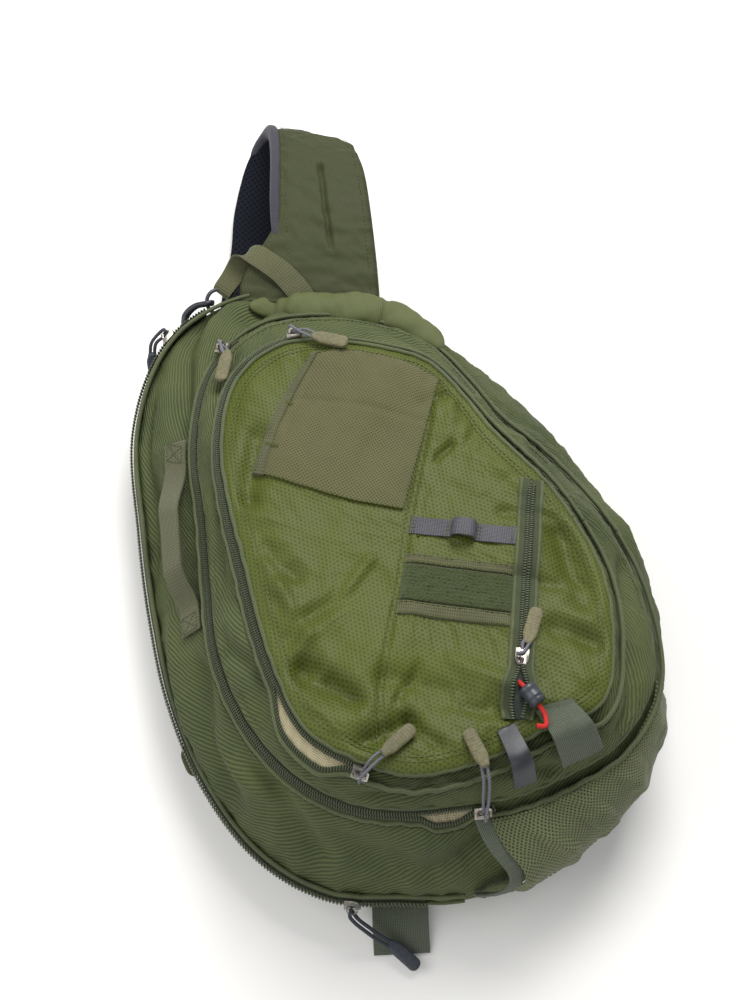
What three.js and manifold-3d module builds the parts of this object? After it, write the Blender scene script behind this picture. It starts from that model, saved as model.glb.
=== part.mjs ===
// A fishing tackle sling bag lying on its back pads. Millimetres, Z up.
// X runs to the right of the front face, Y towards the shoulder strap.
// The origin is on the underside of the right back pad, level with the floor.

import * as THREE from "three";
import { mergeVertices } from "three/addons/utils/BufferGeometryUtils.js";
import Module from "manifold-3d";

const wasm = await Module();
wasm.setup();

// Sizes of the body
const bodyLength = 480;
const bodyWidth = 360;
const bodyTaper = 0.53;
const bellyHeight = 34;
const shoulderLift = 14;
const mainHeight = 91;
const secondHeight = 118;
const frontHeight = 131;
const shellWall = 2.2;
const pocketWall = 1.6;
const roundColumns = 40;

// Sizes of the back
const padThickness = 12;
const padInset = 20;
const padEdge = 4;
const panelThickness = 3;
const panelInset = 12;
const channelWidth = 88;

// Clearances between pieces that touch on the real bag
const gap = 0.3;
const drapeGap = 0.5;
const threadGap = 0.4;

// Sizes of the zippers and their pulls
const mainZipperFrom = 126;
const mainZipperTo = 261;
const middleZipperFrom = 126;
const middleZipperTo = 279;
const frontZipperFrom = 117;
const frontZipperTo = 243;
const zipperHeight = 8.5;
const zipperThickness = 2.2;
const pocketZipperWidth = 13;
const pocketZipperThickness = 1.8;
const sliderLength = 11;
const sliderWidth = 8.5;
const sliderThickness = 3.4;
const bailOpening = 2.8;
const bailWire = 1.3;
const pullCord = 2;
const mainPullCord = 2.6;
const pullSpread = 3.4;
const pullSteps = 15;
const tabLength = 27;
const tabWidth = 9.5;
const tabThickness = 4.6;
const tabGrip = 5;

// Sizes of what is sewn on the front face
const featureTurn = -16.5;
const netThickness = 1.2;
const tapeWidth = 12.7;
const tapeThickness = 1.4;
const tapeLoopWidth = 16;
const tapeLoopRise = 8;
const patchClearance = 1;
const patchHeight = 27;
const patchThickness = 2.4;
const upperBorder = 7;
const lowerBorder = 10;
const borderThickness = 1.4;
const tapeToPatch = 21;
const elasticWidth = 31;
const elasticThickness = 2.4;
const sheathWidth = 14;
const sheathThickness = 1.8;
const sheathRise = 6;
const elasticPlace = 303.5;
const sheathPlace = 287.5;
const liningThickness = 1;

// Sizes of the webbing, the strap and the side pocket
const handleWidth = 20;
const handleThickness = 2;
const handleRise = 13;
const handleStitch = 16;
const handleFrom = 150.5;
const handleTo = 189;
const handleHead = 0.72;
const handleFoot = 0.6;
const handleSeat = 2.6;
const bottleWall = 1.6;
const bottleRoom = 16;
const bottleSeat = 1;
const bindingWidth = 10;
const bindingThickness = 2.6;
const strapWidth = 78;
const strapPad = 8.5;
const strapMesh = 3;
const strapArch = 62;
const strapReach = 160;
const strapRootAngle = 101;
const meshFromRow = 0.45;
const meshToRow = 10.3;
const webbingWidth = 38;
const webbingThickness = 1.6;
const tailLength = 32;
const buckleLength = 46;
const buckleWidth = 52;
const buckleThickness = 8;
const haulWidth = 18;
const haulThickness = 1.8;
const ringRadius = 9;
const ringWire = 3;
const clipWire = 4.4;
const cornerLoopWidth = 26;
const cornerLoopReach = 9;
const cornerAngle = 203.5;
const bungeeCord = 3;
const lockLength = 15;
const lockRadius = 6;

// Outlines seen from above, a row for each 15 degrees counter-clockwise from +X.
// A share r at angle a is the point (bodyWidth * r * cos a, bodyLength * r * sin a).
// belly: widest line of the main compartment. middle: line of the middle zipper.
// front: line of the front zipper. bottle: outside of the bottle pocket, past the belly.
const outlines = [
  { belly: 0.449, middle: 0.368, front: 0.29, bottle: 0 },
  { belly: 0.41, middle: 0.325, front: 0.26, bottle: 0 },
  { belly: 0.392, middle: 0.298, front: 0.239, bottle: 0 },
  { belly: 0.385, middle: 0.286, front: 0.237, bottle: 0 },
  { belly: 0.388, middle: 0.314, front: 0.261, bottle: 0 },
  { belly: 0.413, middle: 0.36, front: 0.298, bottle: 0 },
  { belly: 0.452, middle: 0.393, front: 0.32, bottle: 0 },
  { belly: 0.504, middle: 0.433, front: 0.354, bottle: 0 },
  { belly: 0.569, middle: 0.477, front: 0.403, bottle: 0 },
  { belly: 0.608, middle: 0.486, front: 0.419, bottle: 0 },
  { belly: 0.596, middle: 0.449, front: 0.39, bottle: 0 },
  { belly: 0.543, middle: 0.402, front: 0.347, bottle: 0 },
  { belly: 0.518, middle: 0.39, front: 0.32, bottle: 0 },
  { belly: 0.515, middle: 0.402, front: 0.318, bottle: 0 },
  { belly: 0.517, middle: 0.407, front: 0.331, bottle: 0 },
  { belly: 0.515, middle: 0.403, front: 0.351, bottle: 0 },
  { belly: 0.497, middle: 0.39, front: 0.345, bottle: 0 },
  { belly: 0.467, middle: 0.373, front: 0.342, bottle: 0 },
  { belly: 0.462, middle: 0.364, front: 0.331, bottle: 0.004 },
  { belly: 0.463, middle: 0.377, front: 0.328, bottle: 0.018 },
  { belly: 0.464, middle: 0.398, front: 0.338, bottle: 0.022 },
  { belly: 0.474, middle: 0.434, front: 0.379, bottle: 0.024 },
  { belly: 0.48, middle: 0.448, front: 0.36, bottle: 0.012 },
  { belly: 0.478, middle: 0.413, front: 0.33, bottle: 0.002 },
];

// Folds and dents pressed into the cloth, each along a line from (x0, y0) to (x1, y1).
// Places are shares of bodyWidth and bodyLength, spread and depth shares of bodyWidth.
const folds = [
  { x0: -0.24, y0: -0.17, x1: -0.17, y1: -0.22, spread: 0.03, depth: 0.01 },
  { x0: -0.1, y0: -0.2, x1: 0.09, y1: -0.265, spread: 0.026, depth: 0.008 },
  { x0: -0.16, y0: -0.285, x1: -0.07, y1: -0.262, spread: 0.022, depth: 0.008 },
  { x0: 0.255, y0: -0.02, x1: 0.275, y1: -0.12, spread: 0.03, depth: 0.009 },
  { x0: 0.21, y0: -0.16, x1: 0.28, y1: -0.19, spread: 0.025, depth: 0.008 },
  { x0: -0.3, y0: 0.1, x1: -0.27, y1: 0.19, spread: 0.028, depth: 0.008 },
  { x0: 0.13, y0: 0.2, x1: 0.2, y1: 0.14, spread: 0.03, depth: 0.007 },
  { x0: -0.24, y0: 0.47, x1: -0.19, y1: 0.4, spread: 0.03, depth: 0.02 },
  { x0: -0.37, y0: -0.25, x1: -0.2, y1: -0.38, spread: 0.05, depth: 0.012 },
  { x0: 0.33, y0: 0.05, x1: 0.36, y1: -0.15, spread: 0.035, depth: 0.014 },
];

// Small helpers
const radians = THREE.MathUtils.degToRad;
const lerp = THREE.MathUtils.lerp;
const smooth = THREE.MathUtils.smoothstep;
const at = (x, y, z) => new THREE.Vector3(x, y, z);
const steps = (count) => Array.from({ length: count }, (_, i) => i);
const range = (from, to, count) => steps(count).map((i) => lerp(from, to, i / (count - 1)));

function cloth(hex, roughness = 0.9, metalness = 0) {
  return new THREE.MeshStandardMaterial({ color: hex, roughness, metalness });
}

// Finishes
const bodyNylon = cloth("#515c37");
const faceNylon = cloth("#75863f");
const strapNylon = cloth("#57613a");
const darkMesh = cloth("#33364a", 0.95);
const spacerMesh = cloth("#3a4030", 0.95);
const bottleMesh = cloth("#4d5836", 0.95);
const khakiMesh = cloth("#6b6a42", 0.95);
const webbing = cloth("#63653f");
const zipperTape = cloth("#465036", 0.8);
const greyTape = cloth("#55545b", 0.8);
const loopPile = cloth("#3f4f26", 1);
const beigeLining = cloth("#b3a88a");
const ribbedElastic = cloth("#4a5747");
const glossBand = cloth("#4c4e57", 0.3);
const satinNickel = cloth("#b8b0a0", 0.35, 1);
const tanRubber = cloth("#7f7757", 0.7);
const blackRubber = cloth("#3f4855", 0.6);
const blackPlastic = cloth("#1a1e26", 0.4);
const greyPlastic = cloth("#4a5058", 0.45);
const greyCord = cloth("#76747c", 0.85);
const blackCord = cloth("#1e2430", 0.85);
const redCord = cloth("#e2322c", 0.8);

const bag = new THREE.Group();

function add(name, geometry, material, parent = bag) {
  const mesh = new THREE.Mesh(geometry, material);
  mesh.name = name;
  parent.add(mesh);
  return mesh;
}

// A closed geometry from points and triangles, turned to face outwards.
function closed(points, triangles) {
  const volume = triangles.reduce((sum, [a, b, c]) => {
    return sum + points[a].dot(points[b].clone().cross(points[c]));
  }, 0);
  const faces = volume < 0 ? triangles.map(([a, b, c]) => [a, c, b]) : triangles;
  const geometry = new THREE.BufferGeometry().setFromPoints(points);
  geometry.setIndex(faces.flat());
  return geometry;
}

// A solid lofted through sections that all have the same number of points.
function loft(sections) {
  const around = sections[0].length;
  const last = (sections.length - 1) * around;
  const triangles = [];
  for (let s = 0; s < sections.length - 1; s++) {
    for (let i = 0; i < around; i++) {
      const a = s * around + i;
      const b = s * around + ((i + 1) % around);
      triangles.push([a, b, b + around], [a, b + around, a + around]);
    }
  }
  for (let i = 1; i < around - 1; i++) {
    triangles.push([0, i + 1, i], [last, last + i, last + i + 1]);
  }
  return closed(sections.flat(), triangles);
}

// A solid between two grids of points that face each other.
function slab(top, bottom) {
  const rows = top.length;
  const columns = top[0].length;
  const size = rows * columns;
  const points = [...top.flat(), ...bottom.flat()];
  const triangles = [];
  for (let r = 0; r < rows - 1; r++) {
    for (let c = 0; c < columns - 1; c++) {
      const a = r * columns + c;
      const d = a + columns;
      triangles.push([a, a + 1, d + 1], [a, d + 1, d]);
      triangles.push([size + a, size + d + 1, size + a + 1], [size + a, size + d, size + d + 1]);
    }
  }
  const edge = [
    ...steps(columns - 1).map((c) => c),
    ...steps(rows - 1).map((r) => r * columns + columns - 1),
    ...steps(columns - 1).map((c) => size - 1 - c),
    ...steps(rows - 1).map((r) => (rows - 1 - r) * columns),
  ];
  edge.forEach((a, i) => {
    const b = edge[(i + 1) % edge.length];
    triangles.push([a, size + a, size + b], [a, size + b, b]);
  });
  return closed(points, triangles);
}

function tube(points, diameter, sides = 8, stepCount = 0) {
  const path = new THREE.CatmullRomCurve3(points);
  const circle = new THREE.Shape().absarc(0, 0, diameter / 2, 0, 2 * Math.PI);
  const count = stepCount || Math.max(6, Math.round(path.getLength() / (diameter * 2.2)));
  return new THREE.ExtrudeGeometry(circle, {
    steps: count,
    extrudePath: path,
    curveSegments: sides / 2,
    bevelEnabled: false,
  });
}

function plate(points, thickness, edge = 0) {
  const shape = new THREE.Shape(points.map((p) => new THREE.Vector2(p.x, p.y)));
  const geometry = new THREE.ExtrudeGeometry(shape, {
    depth: thickness - 2 * edge,
    bevelEnabled: edge > 0,
    bevelThickness: edge,
    bevelSize: edge,
    bevelOffset: -edge,
    bevelSegments: 1,
  });
  return geometry.translate(0, 0, edge);
}

// Booleans
function solidOf(geometry) {
  const bare = new THREE.BufferGeometry();
  bare.setAttribute("position", geometry.getAttribute("position").clone());
  if (geometry.index) bare.setIndex(geometry.index.clone());
  const merged = mergeVertices(bare, 1e-4);
  return new wasm.Manifold(
    new wasm.Mesh({
      numProp: 3,
      vertProperties: new Float32Array(merged.attributes.position.array),
      triVerts: new Uint32Array(merged.index.array),
    }),
  );
}

function geometryOf(solid) {
  const mesh = solid.getMesh();
  const geometry = new THREE.BufferGeometry();
  geometry.setAttribute("position", new THREE.BufferAttribute(mesh.vertProperties, 3));
  geometry.setIndex(new THREE.BufferAttribute(mesh.triVerts, 1));
  return geometry;
}

const join = (...parts) => geometryOf(parts.map(solidOf).reduce((a, b) => a.add(b)));
const cut = (whole, ...tools) =>
  geometryOf(tools.map(solidOf).reduce((a, b) => a.subtract(b), solidOf(whole)));

// Outlines and heights of the body
function outlineShare(column, angle) {
  const count = outlines.length;
  const place = ((((angle / 360) % 1) + 1) % 1) * count;
  const row = Math.floor(place);
  const t = place - row;
  const [a, b, c, d] = [-1, 0, 1, 2].map((k) => outlines[(row + k + count) % count][column]);
  return b + 0.5 * t * (c - a + t * (2 * a - 5 * b + 4 * c - d + t * (3 * (b - c) + d - a)));
}

const panelTop = padThickness + gap + panelThickness;
const backLine = () => panelTop + gap;
const bellyLine = (y) => bellyHeight + shoulderLift * smooth(y / bodyLength, 0.2, 0.46);
const tier = (height) => (y) => height * (1 - (bodyTaper * y) / bodyLength);
const between = (low, high, share) => (y) => lerp(low(y), high(y), share);

function foldDepth(x, y) {
  const u = x / bodyWidth;
  const v = y / bodyLength;
  let depth = 0;
  for (const fold of folds) {
    const dx = fold.x1 - fold.x0;
    const dy = fold.y1 - fold.y0;
    const along = ((u - fold.x0) * dx + (v - fold.y0) * dy) / (dx * dx + dy * dy);
    const t = THREE.MathUtils.clamp(along, 0, 1);
    const away = Math.hypot(u - fold.x0 - t * dx, v - fold.y0 - t * dy) / fold.spread;
    depth += fold.depth * bodyWidth * Math.exp(-away * away);
  }
  return depth;
}

// A level is a closed line round the body: a mix of two outlines, pushed out, at a height.
function levelPoint(level, angle) {
  const a = radians(angle);
  const low = outlineShare(level.from, angle);
  const high = outlineShare(level.to ?? level.from, angle);
  const share = lerp(low, high, level.mix ?? 0) * (level.scale ?? 1);
  const point = at(bodyWidth * share * Math.cos(a), bodyLength * share * Math.sin(a), 0);
  const reach = Math.hypot(point.x, point.y);
  point.multiplyScalar(1 + (level.out ?? 0) / reach);
  point.z = level.height(point.y) - (level.folded ? foldDepth(point.x, point.y) : 0);
  return point;
}

const columnAngles = steps(roundColumns).map((i) => (i * 360) / roundColumns);

// A hollow bowl, open at its first level and closed over its last.
function bowl(levels, wall) {
  const outer = levels.map((level) => columnAngles.map((angle) => levelPoint(level, angle)));
  const top = levels[levels.length - 1];
  const crown = at(0, 0, top.height(0) - (top.folded ? foldDepth(0, 0) : 0));
  const inner = outer.map((ring, r) =>
    ring.map((point, c) => {
      const next = ring[(c + 1) % roundColumns];
      const before = ring[(c + roundColumns - 1) % roundColumns];
      const above = r + 1 < outer.length ? outer[r + 1][c] : crown;
      const below = r > 0 ? outer[r - 1][c] : point;
      const along = next.clone().sub(before);
      const up = above.clone().sub(below);
      const normal = along.cross(up).normalize();
      const moved = point.clone().addScaledVector(normal, -wall);
      if (r === 0) moved.z = point.z;
      return moved;
    }),
  );
  const points = [...outer.flat(), crown, ...inner.flat(), crown.clone().setZ(crown.z - wall)];
  const size = outer.length * roundColumns + 1;
  const triangles = [];
  for (let c = 0; c < roundColumns; c++) {
    const n = (c + 1) % roundColumns;
    for (let r = 0; r < outer.length - 1; r++) {
      const low = r * roundColumns;
      const high = low + roundColumns;
      triangles.push([low + c, low + n, high + n], [low + c, high + n, high + c]);
      triangles.push([size + low + c, size + high + n, size + low + n]);
      triangles.push([size + low + c, size + high + c, size + high + n]);
    }
    const last = (outer.length - 1) * roundColumns;
    triangles.push([last + c, last + n, size - 1], [size + last + c, 2 * size - 1, size + last + n]);
    triangles.push([c, size + n, n], [c, size + c, size + n]);
  }
  return closed(points, triangles);
}

// Levels of the three compartments, from the rim up
const mainTop = tier(mainHeight);
const secondTop = tier(secondHeight);
const face = tier(frontHeight);
const wall = { from: "belly", to: "middle" };
const mainLevels = [
  { from: "belly", out: -panelInset, height: backLine },
  { from: "belly", out: -3, height: between(backLine, bellyLine, 0.45) },
  { from: "belly", height: bellyLine },
  { ...wall, mix: 0.3, out: 4, height: between(bellyLine, mainTop, 0.36), folded: true },
  { ...wall, mix: 0.72, out: 5, height: between(bellyLine, mainTop, 0.75), folded: true },
  { from: "middle", height: tier(mainHeight - 3) },
  { from: "middle", out: -7, height: mainTop },
];
const secondLevels = [
  { from: "middle", out: -6, height: (y) => mainTop(y) + gap },
  { from: "middle", height: tier(mainHeight + 6.5) },
  { from: "middle", to: "front", mix: 0.32, out: 2.5, height: tier(mainHeight + 15), folded: true },
  { from: "middle", to: "front", mix: 0.68, out: 2.5, height: tier(mainHeight + 23), folded: true },
  { from: "middle", to: "front", mix: 0.93, height: secondTop },
  { from: "front", out: -8, height: secondTop },
];
const frontLevels = [
  { from: "front", out: -3, height: (y) => secondTop(y) + gap },
  { from: "front", out: -0.5, height: tier(secondHeight + 2.5) },
  { from: "front", out: -0.5, height: tier(secondHeight + 8) },
  { from: "front", out: -5, height: tier(frontHeight - 2) },
  { from: "front", out: -13, height: tier(frontHeight - 0.4) },
  { from: "front", out: -24, height: face, folded: true },
  { from: "front", scale: 0.66, height: face, folded: true },
  { from: "front", scale: 0.42, height: face, folded: true },
  { from: "front", scale: 0.2, height: face, folded: true },
];

const mainShell = bowl(mainLevels, shellWall);
const secondShell = bowl(secondLevels, shellWall);
const frontPocket = bowl(frontLevels, pocketWall);
add("main_shell", mainShell, bodyNylon);
add("second_shell", secondShell, bodyNylon);
add("front_pocket", frontPocket, faceNylon);

// Height of the outermost cloth above a point of the floor
function heightOver(geometries) {
  const corners = geometries.flatMap((geometry) => {
    const position = geometry.getAttribute("position");
    const index = geometry.index.array;
    const faces = [];
    for (let i = 0; i < index.length; i += 3) {
      faces.push([0, 1, 2].map((k) => at(0, 0, 0).fromBufferAttribute(position, index[i + k])));
    }
    return faces;
  });
  return (x, y) => {
    let height = -Infinity;
    for (const [a, b, c] of corners) {
      const area = (b.x - a.x) * (c.y - a.y) - (c.x - a.x) * (b.y - a.y);
      if (Math.abs(area) < 1e-9) continue;
      const u = ((x - a.x) * (c.y - a.y) - (c.x - a.x) * (y - a.y)) / area;
      const v = ((b.x - a.x) * (y - a.y) - (x - a.x) * (b.y - a.y)) / area;
      if (u < -1e-6 || v < -1e-6 || u + v > 1 + 1e-6) continue;
      height = Math.max(height, a.z + u * (b.z - a.z) + v * (c.z - a.z));
    }
    return height;
  };
}

const clothHeight = heightOver([frontPocket, secondShell, mainShell]);

// A sheet laid on the cloth: place(s, t) gives the point below as [x, y]
function drape(place, across, along, thickness, lift = drapeGap, rise = () => 0) {
  const grid = range(0, 1, along).map((t) =>
    range(0, 1, across).map((s) => {
      const [x, y] = place(s, t);
      return at(x, y, clothHeight(x, y) + lift + rise(s, t));
    }),
  );
  const above = grid.map((row) => row.map((p) => p.clone().setZ(p.z + thickness)));
  return slab(above, grid);
}

// Back panel and its two pads, with a channel for the strap between them
const channelTop = at(-0.235 * bodyWidth, 0.54 * bodyLength, 0);
const channelFoot = at(-0.117 * bodyWidth, -0.45 * bodyLength, 0);
const channelShare = (y) => (y - channelFoot.y) / (channelTop.y - channelFoot.y);
const channelAt = (y) => lerp(channelFoot.x, channelTop.x, channelShare(y));

const panelOutline = columnAngles.map((angle) => levelPoint(mainLevels[0], angle));
add("back_panel", plate(panelOutline, panelThickness).translate(0, 0, padThickness + gap), spacerMesh);

function padOutline(side) {
  const level = { from: "belly", out: -padInset, height: () => 0 };
  const edge = (y) => channelAt(y) + (side * channelWidth) / 2;
  const ring = range(0, 360, 61).slice(0, 60).map((angle) => levelPoint(level, angle));
  const kept = ring.filter((p) => side * (p.x - edge(p.y)) > padEdge);
  const ends = [Math.max(...kept.map((p) => p.y)), Math.min(...kept.map((p) => p.y))];
  const corners = ends.map((y) => at(edge(y), y, 0));
  return [...kept, ...corners].sort((p, q) => padAngle(p, side) - padAngle(q, side));
}

function padAngle(point, side) {
  const centre = side > 0 ? 0.1 * bodyWidth : -0.38 * bodyWidth;
  return Math.atan2(point.y / bodyLength, (point.x - centre) / bodyWidth);
}

add("back_pad_left", plate(padOutline(-1), padThickness, padEdge), spacerMesh);
add("back_pad_right", plate(padOutline(1), padThickness, padEdge), spacerMesh);

// Zippers that run round the body as bands outside the seam between two compartments
function zipperSection(low, high, angle) {
  const below = levelPoint({ ...low, out: gap + (low.out ?? 0) }, angle);
  const above = levelPoint({ ...high, out: gap + (high.out ?? 0) }, angle);
  const away = at(below.x, below.y, 0).normalize();
  const up = above.clone().sub(below);
  const normal = away.multiplyScalar(up.z).add(at(0, 0, -up.dot(away) / up.z)).normalize();
  return { below, above, normal };
}

function zipperBand(low, high, from, to) {
  const columns = columnAngles.filter((angle) => angle >= from && angle <= to);
  return loft(
    columns.map((angle) => {
      const { below, above, normal } = zipperSection(low, high, angle);
      const thick = normal.multiplyScalar(zipperThickness);
      return [below, below.clone().add(thick), above.clone().add(thick), above];
    }),
  );
}

const mainZip = {
  low: { from: "belly", out: 0.6, height: (y) => bellyLine(y) - 1 },
  high: { from: "belly", out: -0.8, height: (y) => bellyLine(y) + zipperHeight - 1 },
};
const zipperLean = 0.7 * zipperHeight;
const middleZip = {
  low: { from: "middle", out: zipperLean - 1, height: tier(mainHeight - 2.5) },
  high: { from: "middle", out: -1, height: tier(mainHeight - 2.5 + zipperLean) },
};
const frontZip = {
  low: { from: "front", out: zipperLean, height: (y) => secondTop(y) + gap + 0.2 },
  high: { from: "front", out: 0.2, height: (y) => secondTop(y) + gap + zipperLean },
};
add("main_zipper", zipperBand(mainZip.low, mainZip.high, mainZipperFrom, mainZipperTo), zipperTape);
const middleBand = zipperBand(middleZip.low, middleZip.high, middleZipperFrom, middleZipperTo);
add("middle_zipper", middleBand, zipperTape);
add("front_zipper", zipperBand(frontZip.low, frontZip.high, frontZipperFrom, frontZipperTo), zipperTape);

// Zipper of the flat pocket on the face
const pocketZipTop = { u: 0.2235, v: 0.054 };
const pocketZipFoot = { u: 0.114, v: -0.28 };
function pocketZipPlace(s, t) {
  const dx = (pocketZipFoot.u - pocketZipTop.u) * bodyWidth;
  const dy = (pocketZipFoot.v - pocketZipTop.v) * bodyLength;
  const length = Math.hypot(dx, dy);
  const side = (s - 0.5) * pocketZipperWidth;
  const x = pocketZipTop.u * bodyWidth + t * dx - (side * dy) / length;
  const y = pocketZipTop.v * bodyLength + t * dy + (side * dx) / length;
  return [x, y];
}
add("pocket_zipper", drape(pocketZipPlace, 3, 22, pocketZipperThickness, 1), zipperTape);

// Net pocket, sewn on three sides with an open hem on the left
const netCorners = {
  leftFoot: [-0.268, 0.131],
  leftHead: [-0.133, 0.32],
  rightFoot: [-0.019, 0.045],
  rightHead: [0.092, 0.25],
};
function netPlace(s, t) {
  const left = [0, 1].map((k) => lerp(netCorners.leftFoot[k], netCorners.leftHead[k], t));
  const right = [0, 1].map((k) => lerp(netCorners.rightFoot[k], netCorners.rightHead[k], t));
  const bow = 4 * s * (1 - s);
  const u = lerp(left[0], right[0], s) - 0.01 * Math.sin(Math.PI * t) * (1 - s);
  const v = lerp(left[1], right[1], s) + bow * lerp(-0.008, 0.024, t);
  return [u * bodyWidth, v * bodyLength];
}
add("net_pocket", drape(netPlace, 9, 9, netThickness, 2 * gap), khakiMesh);

// Tape, loop patch and borders lie on the flat middle of the face, in its own tilted frame
const faceSlope = (bodyTaper * frontHeight) / bodyLength;
const faceFrame = new THREE.Group();
faceFrame.position.z = frontHeight;
faceFrame.rotation.x = -Math.atan(faceSlope);
bag.add(faceFrame);
const patchFrame = new THREE.Group();
patchFrame.position.set(0.055 * bodyWidth, -0.086 * bodyLength, drapeGap);
patchFrame.rotation.z = radians(featureTurn);
faceFrame.add(patchFrame);

// The strips run from the centre seam on the left to the pocket zipper's tape on the right
function inPatchFrame([x, y]) {
  const point = at(x, y / Math.cos(faceFrame.rotation.x), 0).sub(patchFrame.position.clone().setZ(0));
  return point.applyAxisAngle(at(0, 0, 1), -patchFrame.rotation.z);
}
const seamHead = [-0.006 * bodyWidth, 0.03 * bodyLength];
const seamFoot = [-0.071 * bodyWidth, -0.13 * bodyLength];
function lineAt(from, to, y) {
  const a = inPatchFrame(from);
  const b = inPatchFrame(to);
  return lerp(a.x, b.x, (y - a.y) / (b.y - a.y));
}
const stripLeft = (y) => lineAt(seamHead, seamFoot, y);
const stripRight = (y) => lineAt(pocketZipPlace(0, 0), pocketZipPlace(0, 1), y) - patchClearance;

function strip(height, thickness, y) {
  const corners = [
    [stripLeft(y - height / 2), y - height / 2],
    [stripRight(y - height / 2), y - height / 2],
    [stripRight(y + height / 2), y + height / 2],
    [stripLeft(y + height / 2), y + height / 2],
  ];
  return plate(corners.map(([x, v]) => at(x, v, 0)), thickness);
}

const upperBorderPlace = patchHeight / 2 + gap + upperBorder / 2;
const lowerBorderPlace = -patchHeight / 2 - gap - lowerBorder / 2;
add("loop_patch", strip(patchHeight, patchThickness, 0), loopPile, patchFrame);
add("patch_tape_upper", strip(upperBorder, borderThickness, upperBorderPlace), webbing, patchFrame);
add("patch_tape_lower", strip(lowerBorder, borderThickness, lowerBorderPlace), webbing, patchFrame);

// Grey tape, raised into one loop
function tapeSection(x, lift, y) {
  const low = y - tapeWidth / 2;
  const high = y + tapeWidth / 2;
  const up = lift + tapeThickness;
  return [at(x, low, lift), at(x, high, lift), at(x, high, up), at(x, low, up)];
}
const tapeY = upperBorderPlace + upperBorder / 2 + tapeToPatch;
const loopPlace = lerp(stripLeft(tapeY), stripRight(tapeY), 0.5);
const tapeArch = [
  { across: -0.5, up: 0 },
  { across: -0.46, up: 0.55 },
  { across: -0.3, up: 0.92 },
  { across: 0, up: 1 },
  { across: 0.3, up: 0.92 },
  { across: 0.46, up: 0.55 },
  { across: 0.5, up: 0 },
];
const tapeProfile = [
  [stripLeft(tapeY), 0],
  ...tapeArch.map((row) => [loopPlace + row.across * tapeLoopWidth, row.up * tapeLoopRise]),
  [stripRight(tapeY + tapeWidth / 2), 0],
];
add("tool_tape", loft(tapeProfile.map(([x, lift]) => tapeSection(x, lift, tapeY))), greyTape, patchFrame);

// Elastic tab and glossy tool sheath, sewn over the step between the front and second compartments
const overStep = [
  { from: "front", out: -13, height: tier(frontHeight - 0.8), up: 0 },
  { from: "front", out: -3, height: face, up: 0.35 },
  { from: "front", to: "middle", mix: 0.2, height: tier(frontHeight - 1.5), up: 0.75 },
  { from: "front", to: "middle", mix: 0.42, height: tier(secondHeight + 6), up: 1 },
  { from: "front", to: "middle", mix: 0.65, height: tier(secondHeight - 2), up: 0.8 },
  { from: "front", to: "middle", mix: 0.85, height: tier(mainHeight + 18), up: 0.35 },
];
function overStepSheet(middle, width, thickness, rise) {
  const reach = bodyLength * outlineShare("front", middle);
  const half = (width / reach / 2) * (180 / Math.PI);
  const grid = (lift) =>
    overStep.map((level) =>
      range(middle - half, middle + half, 5).map((angle) => {
        const point = levelPoint(level, angle);
        const away = at(point.x, point.y, 0).normalize();
        const push = lift + rise * level.up;
        return point.addScaledVector(away, push * 0.55).add(at(0, 0, drapeGap + push * 0.84));
      }),
    );
  return slab(grid(thickness + drapeGap), grid(drapeGap));
}
add("elastic_holder", overStepSheet(elasticPlace, elasticWidth, elasticThickness, 1), ribbedElastic);
add("tool_sheath", overStepSheet(sheathPlace, sheathWidth, sheathThickness, sheathRise), glossBand);

// Beige lining that shows where two zippers gape
function liningStrip(level, from, to, width) {
  const sections = range(from, to, 9).map((angle, i) => {
    const open = width * Math.sin((Math.PI * (i + 0.5)) / 9);
    const inner = levelPoint(level, angle);
    const away = at(inner.x, inner.y, 0).normalize();
    const outer = inner.clone().addScaledVector(away, 1 + open);
    const points = [inner, outer].map((p) => at(p.x, p.y, clothHeight(p.x, p.y) + 2 * drapeGap));
    const above = points.map((p) => p.clone().setZ(p.z + liningThickness));
    return [points[0], points[1], above[1], above[0]];
  });
  return loft(sections);
}
const frontGape = { from: "front", out: zipperThickness + 1.2, height: () => 0 };
const middleGape = { from: "middle", out: zipperThickness + 1.2, height: () => 0 };
add("lining_front", liningStrip(frontGape, 214, 236, 7), beigeLining);
add("lining_middle", liningStrip(middleGape, 258, 274, 4), beigeLining);

// The side wall of the main compartment: angle round the body, share from belly to middle
function wallPoint(angle, share, lift) {
  const place = (a, s) => {
    const mix = s;
    const puff = 5 * Math.sin(Math.PI * Math.min(1, s * 1.1));
    return levelPoint(
      { from: "belly", to: "middle", mix, out: puff, height: between(bellyLine, mainTop, s) },
      a,
    );
  };
  const point = place(angle, share);
  const along = place(angle + 1, share).sub(place(angle - 1, share));
  const up = place(angle, Math.min(1, share + 0.05)).sub(place(angle, Math.max(0, share - 0.05)));
  const normal = along.cross(up).normalize();
  return { point: point.addScaledVector(normal, lift), normal, up: up.normalize() };
}

// Grab handle: webbing sewn down at both ends and standing off the left wall between them
const handleEnds = [wallPoint(handleFrom, handleHead, 0), wallPoint(handleTo, handleFoot, 0)];
const handleLength = handleEnds[0].point.distanceTo(handleEnds[1].point);
const handleRows = range(0, 1, 15).map((t) => {
  const stitched = handleStitch / handleLength;
  const free = smooth(t, stitched, 0.38) * (1 - smooth(t, 0.66, 1 - stitched));
  const angle = lerp(handleFrom, handleTo, t);
  const share = lerp(handleHead, handleFoot, t);
  const { point, normal, up } = wallPoint(angle, share, handleSeat + handleRise * free);
  const side = up.clone().multiplyScalar(handleWidth / 2);
  const thick = normal.clone().multiplyScalar(handleThickness);
  const a = point.clone().sub(side);
  const b = point.clone().add(side);
  return [a, b, b.clone().add(thick), a.clone().add(thick)];
});
add("grab_handle", loft(handleRows), webbing);

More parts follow.
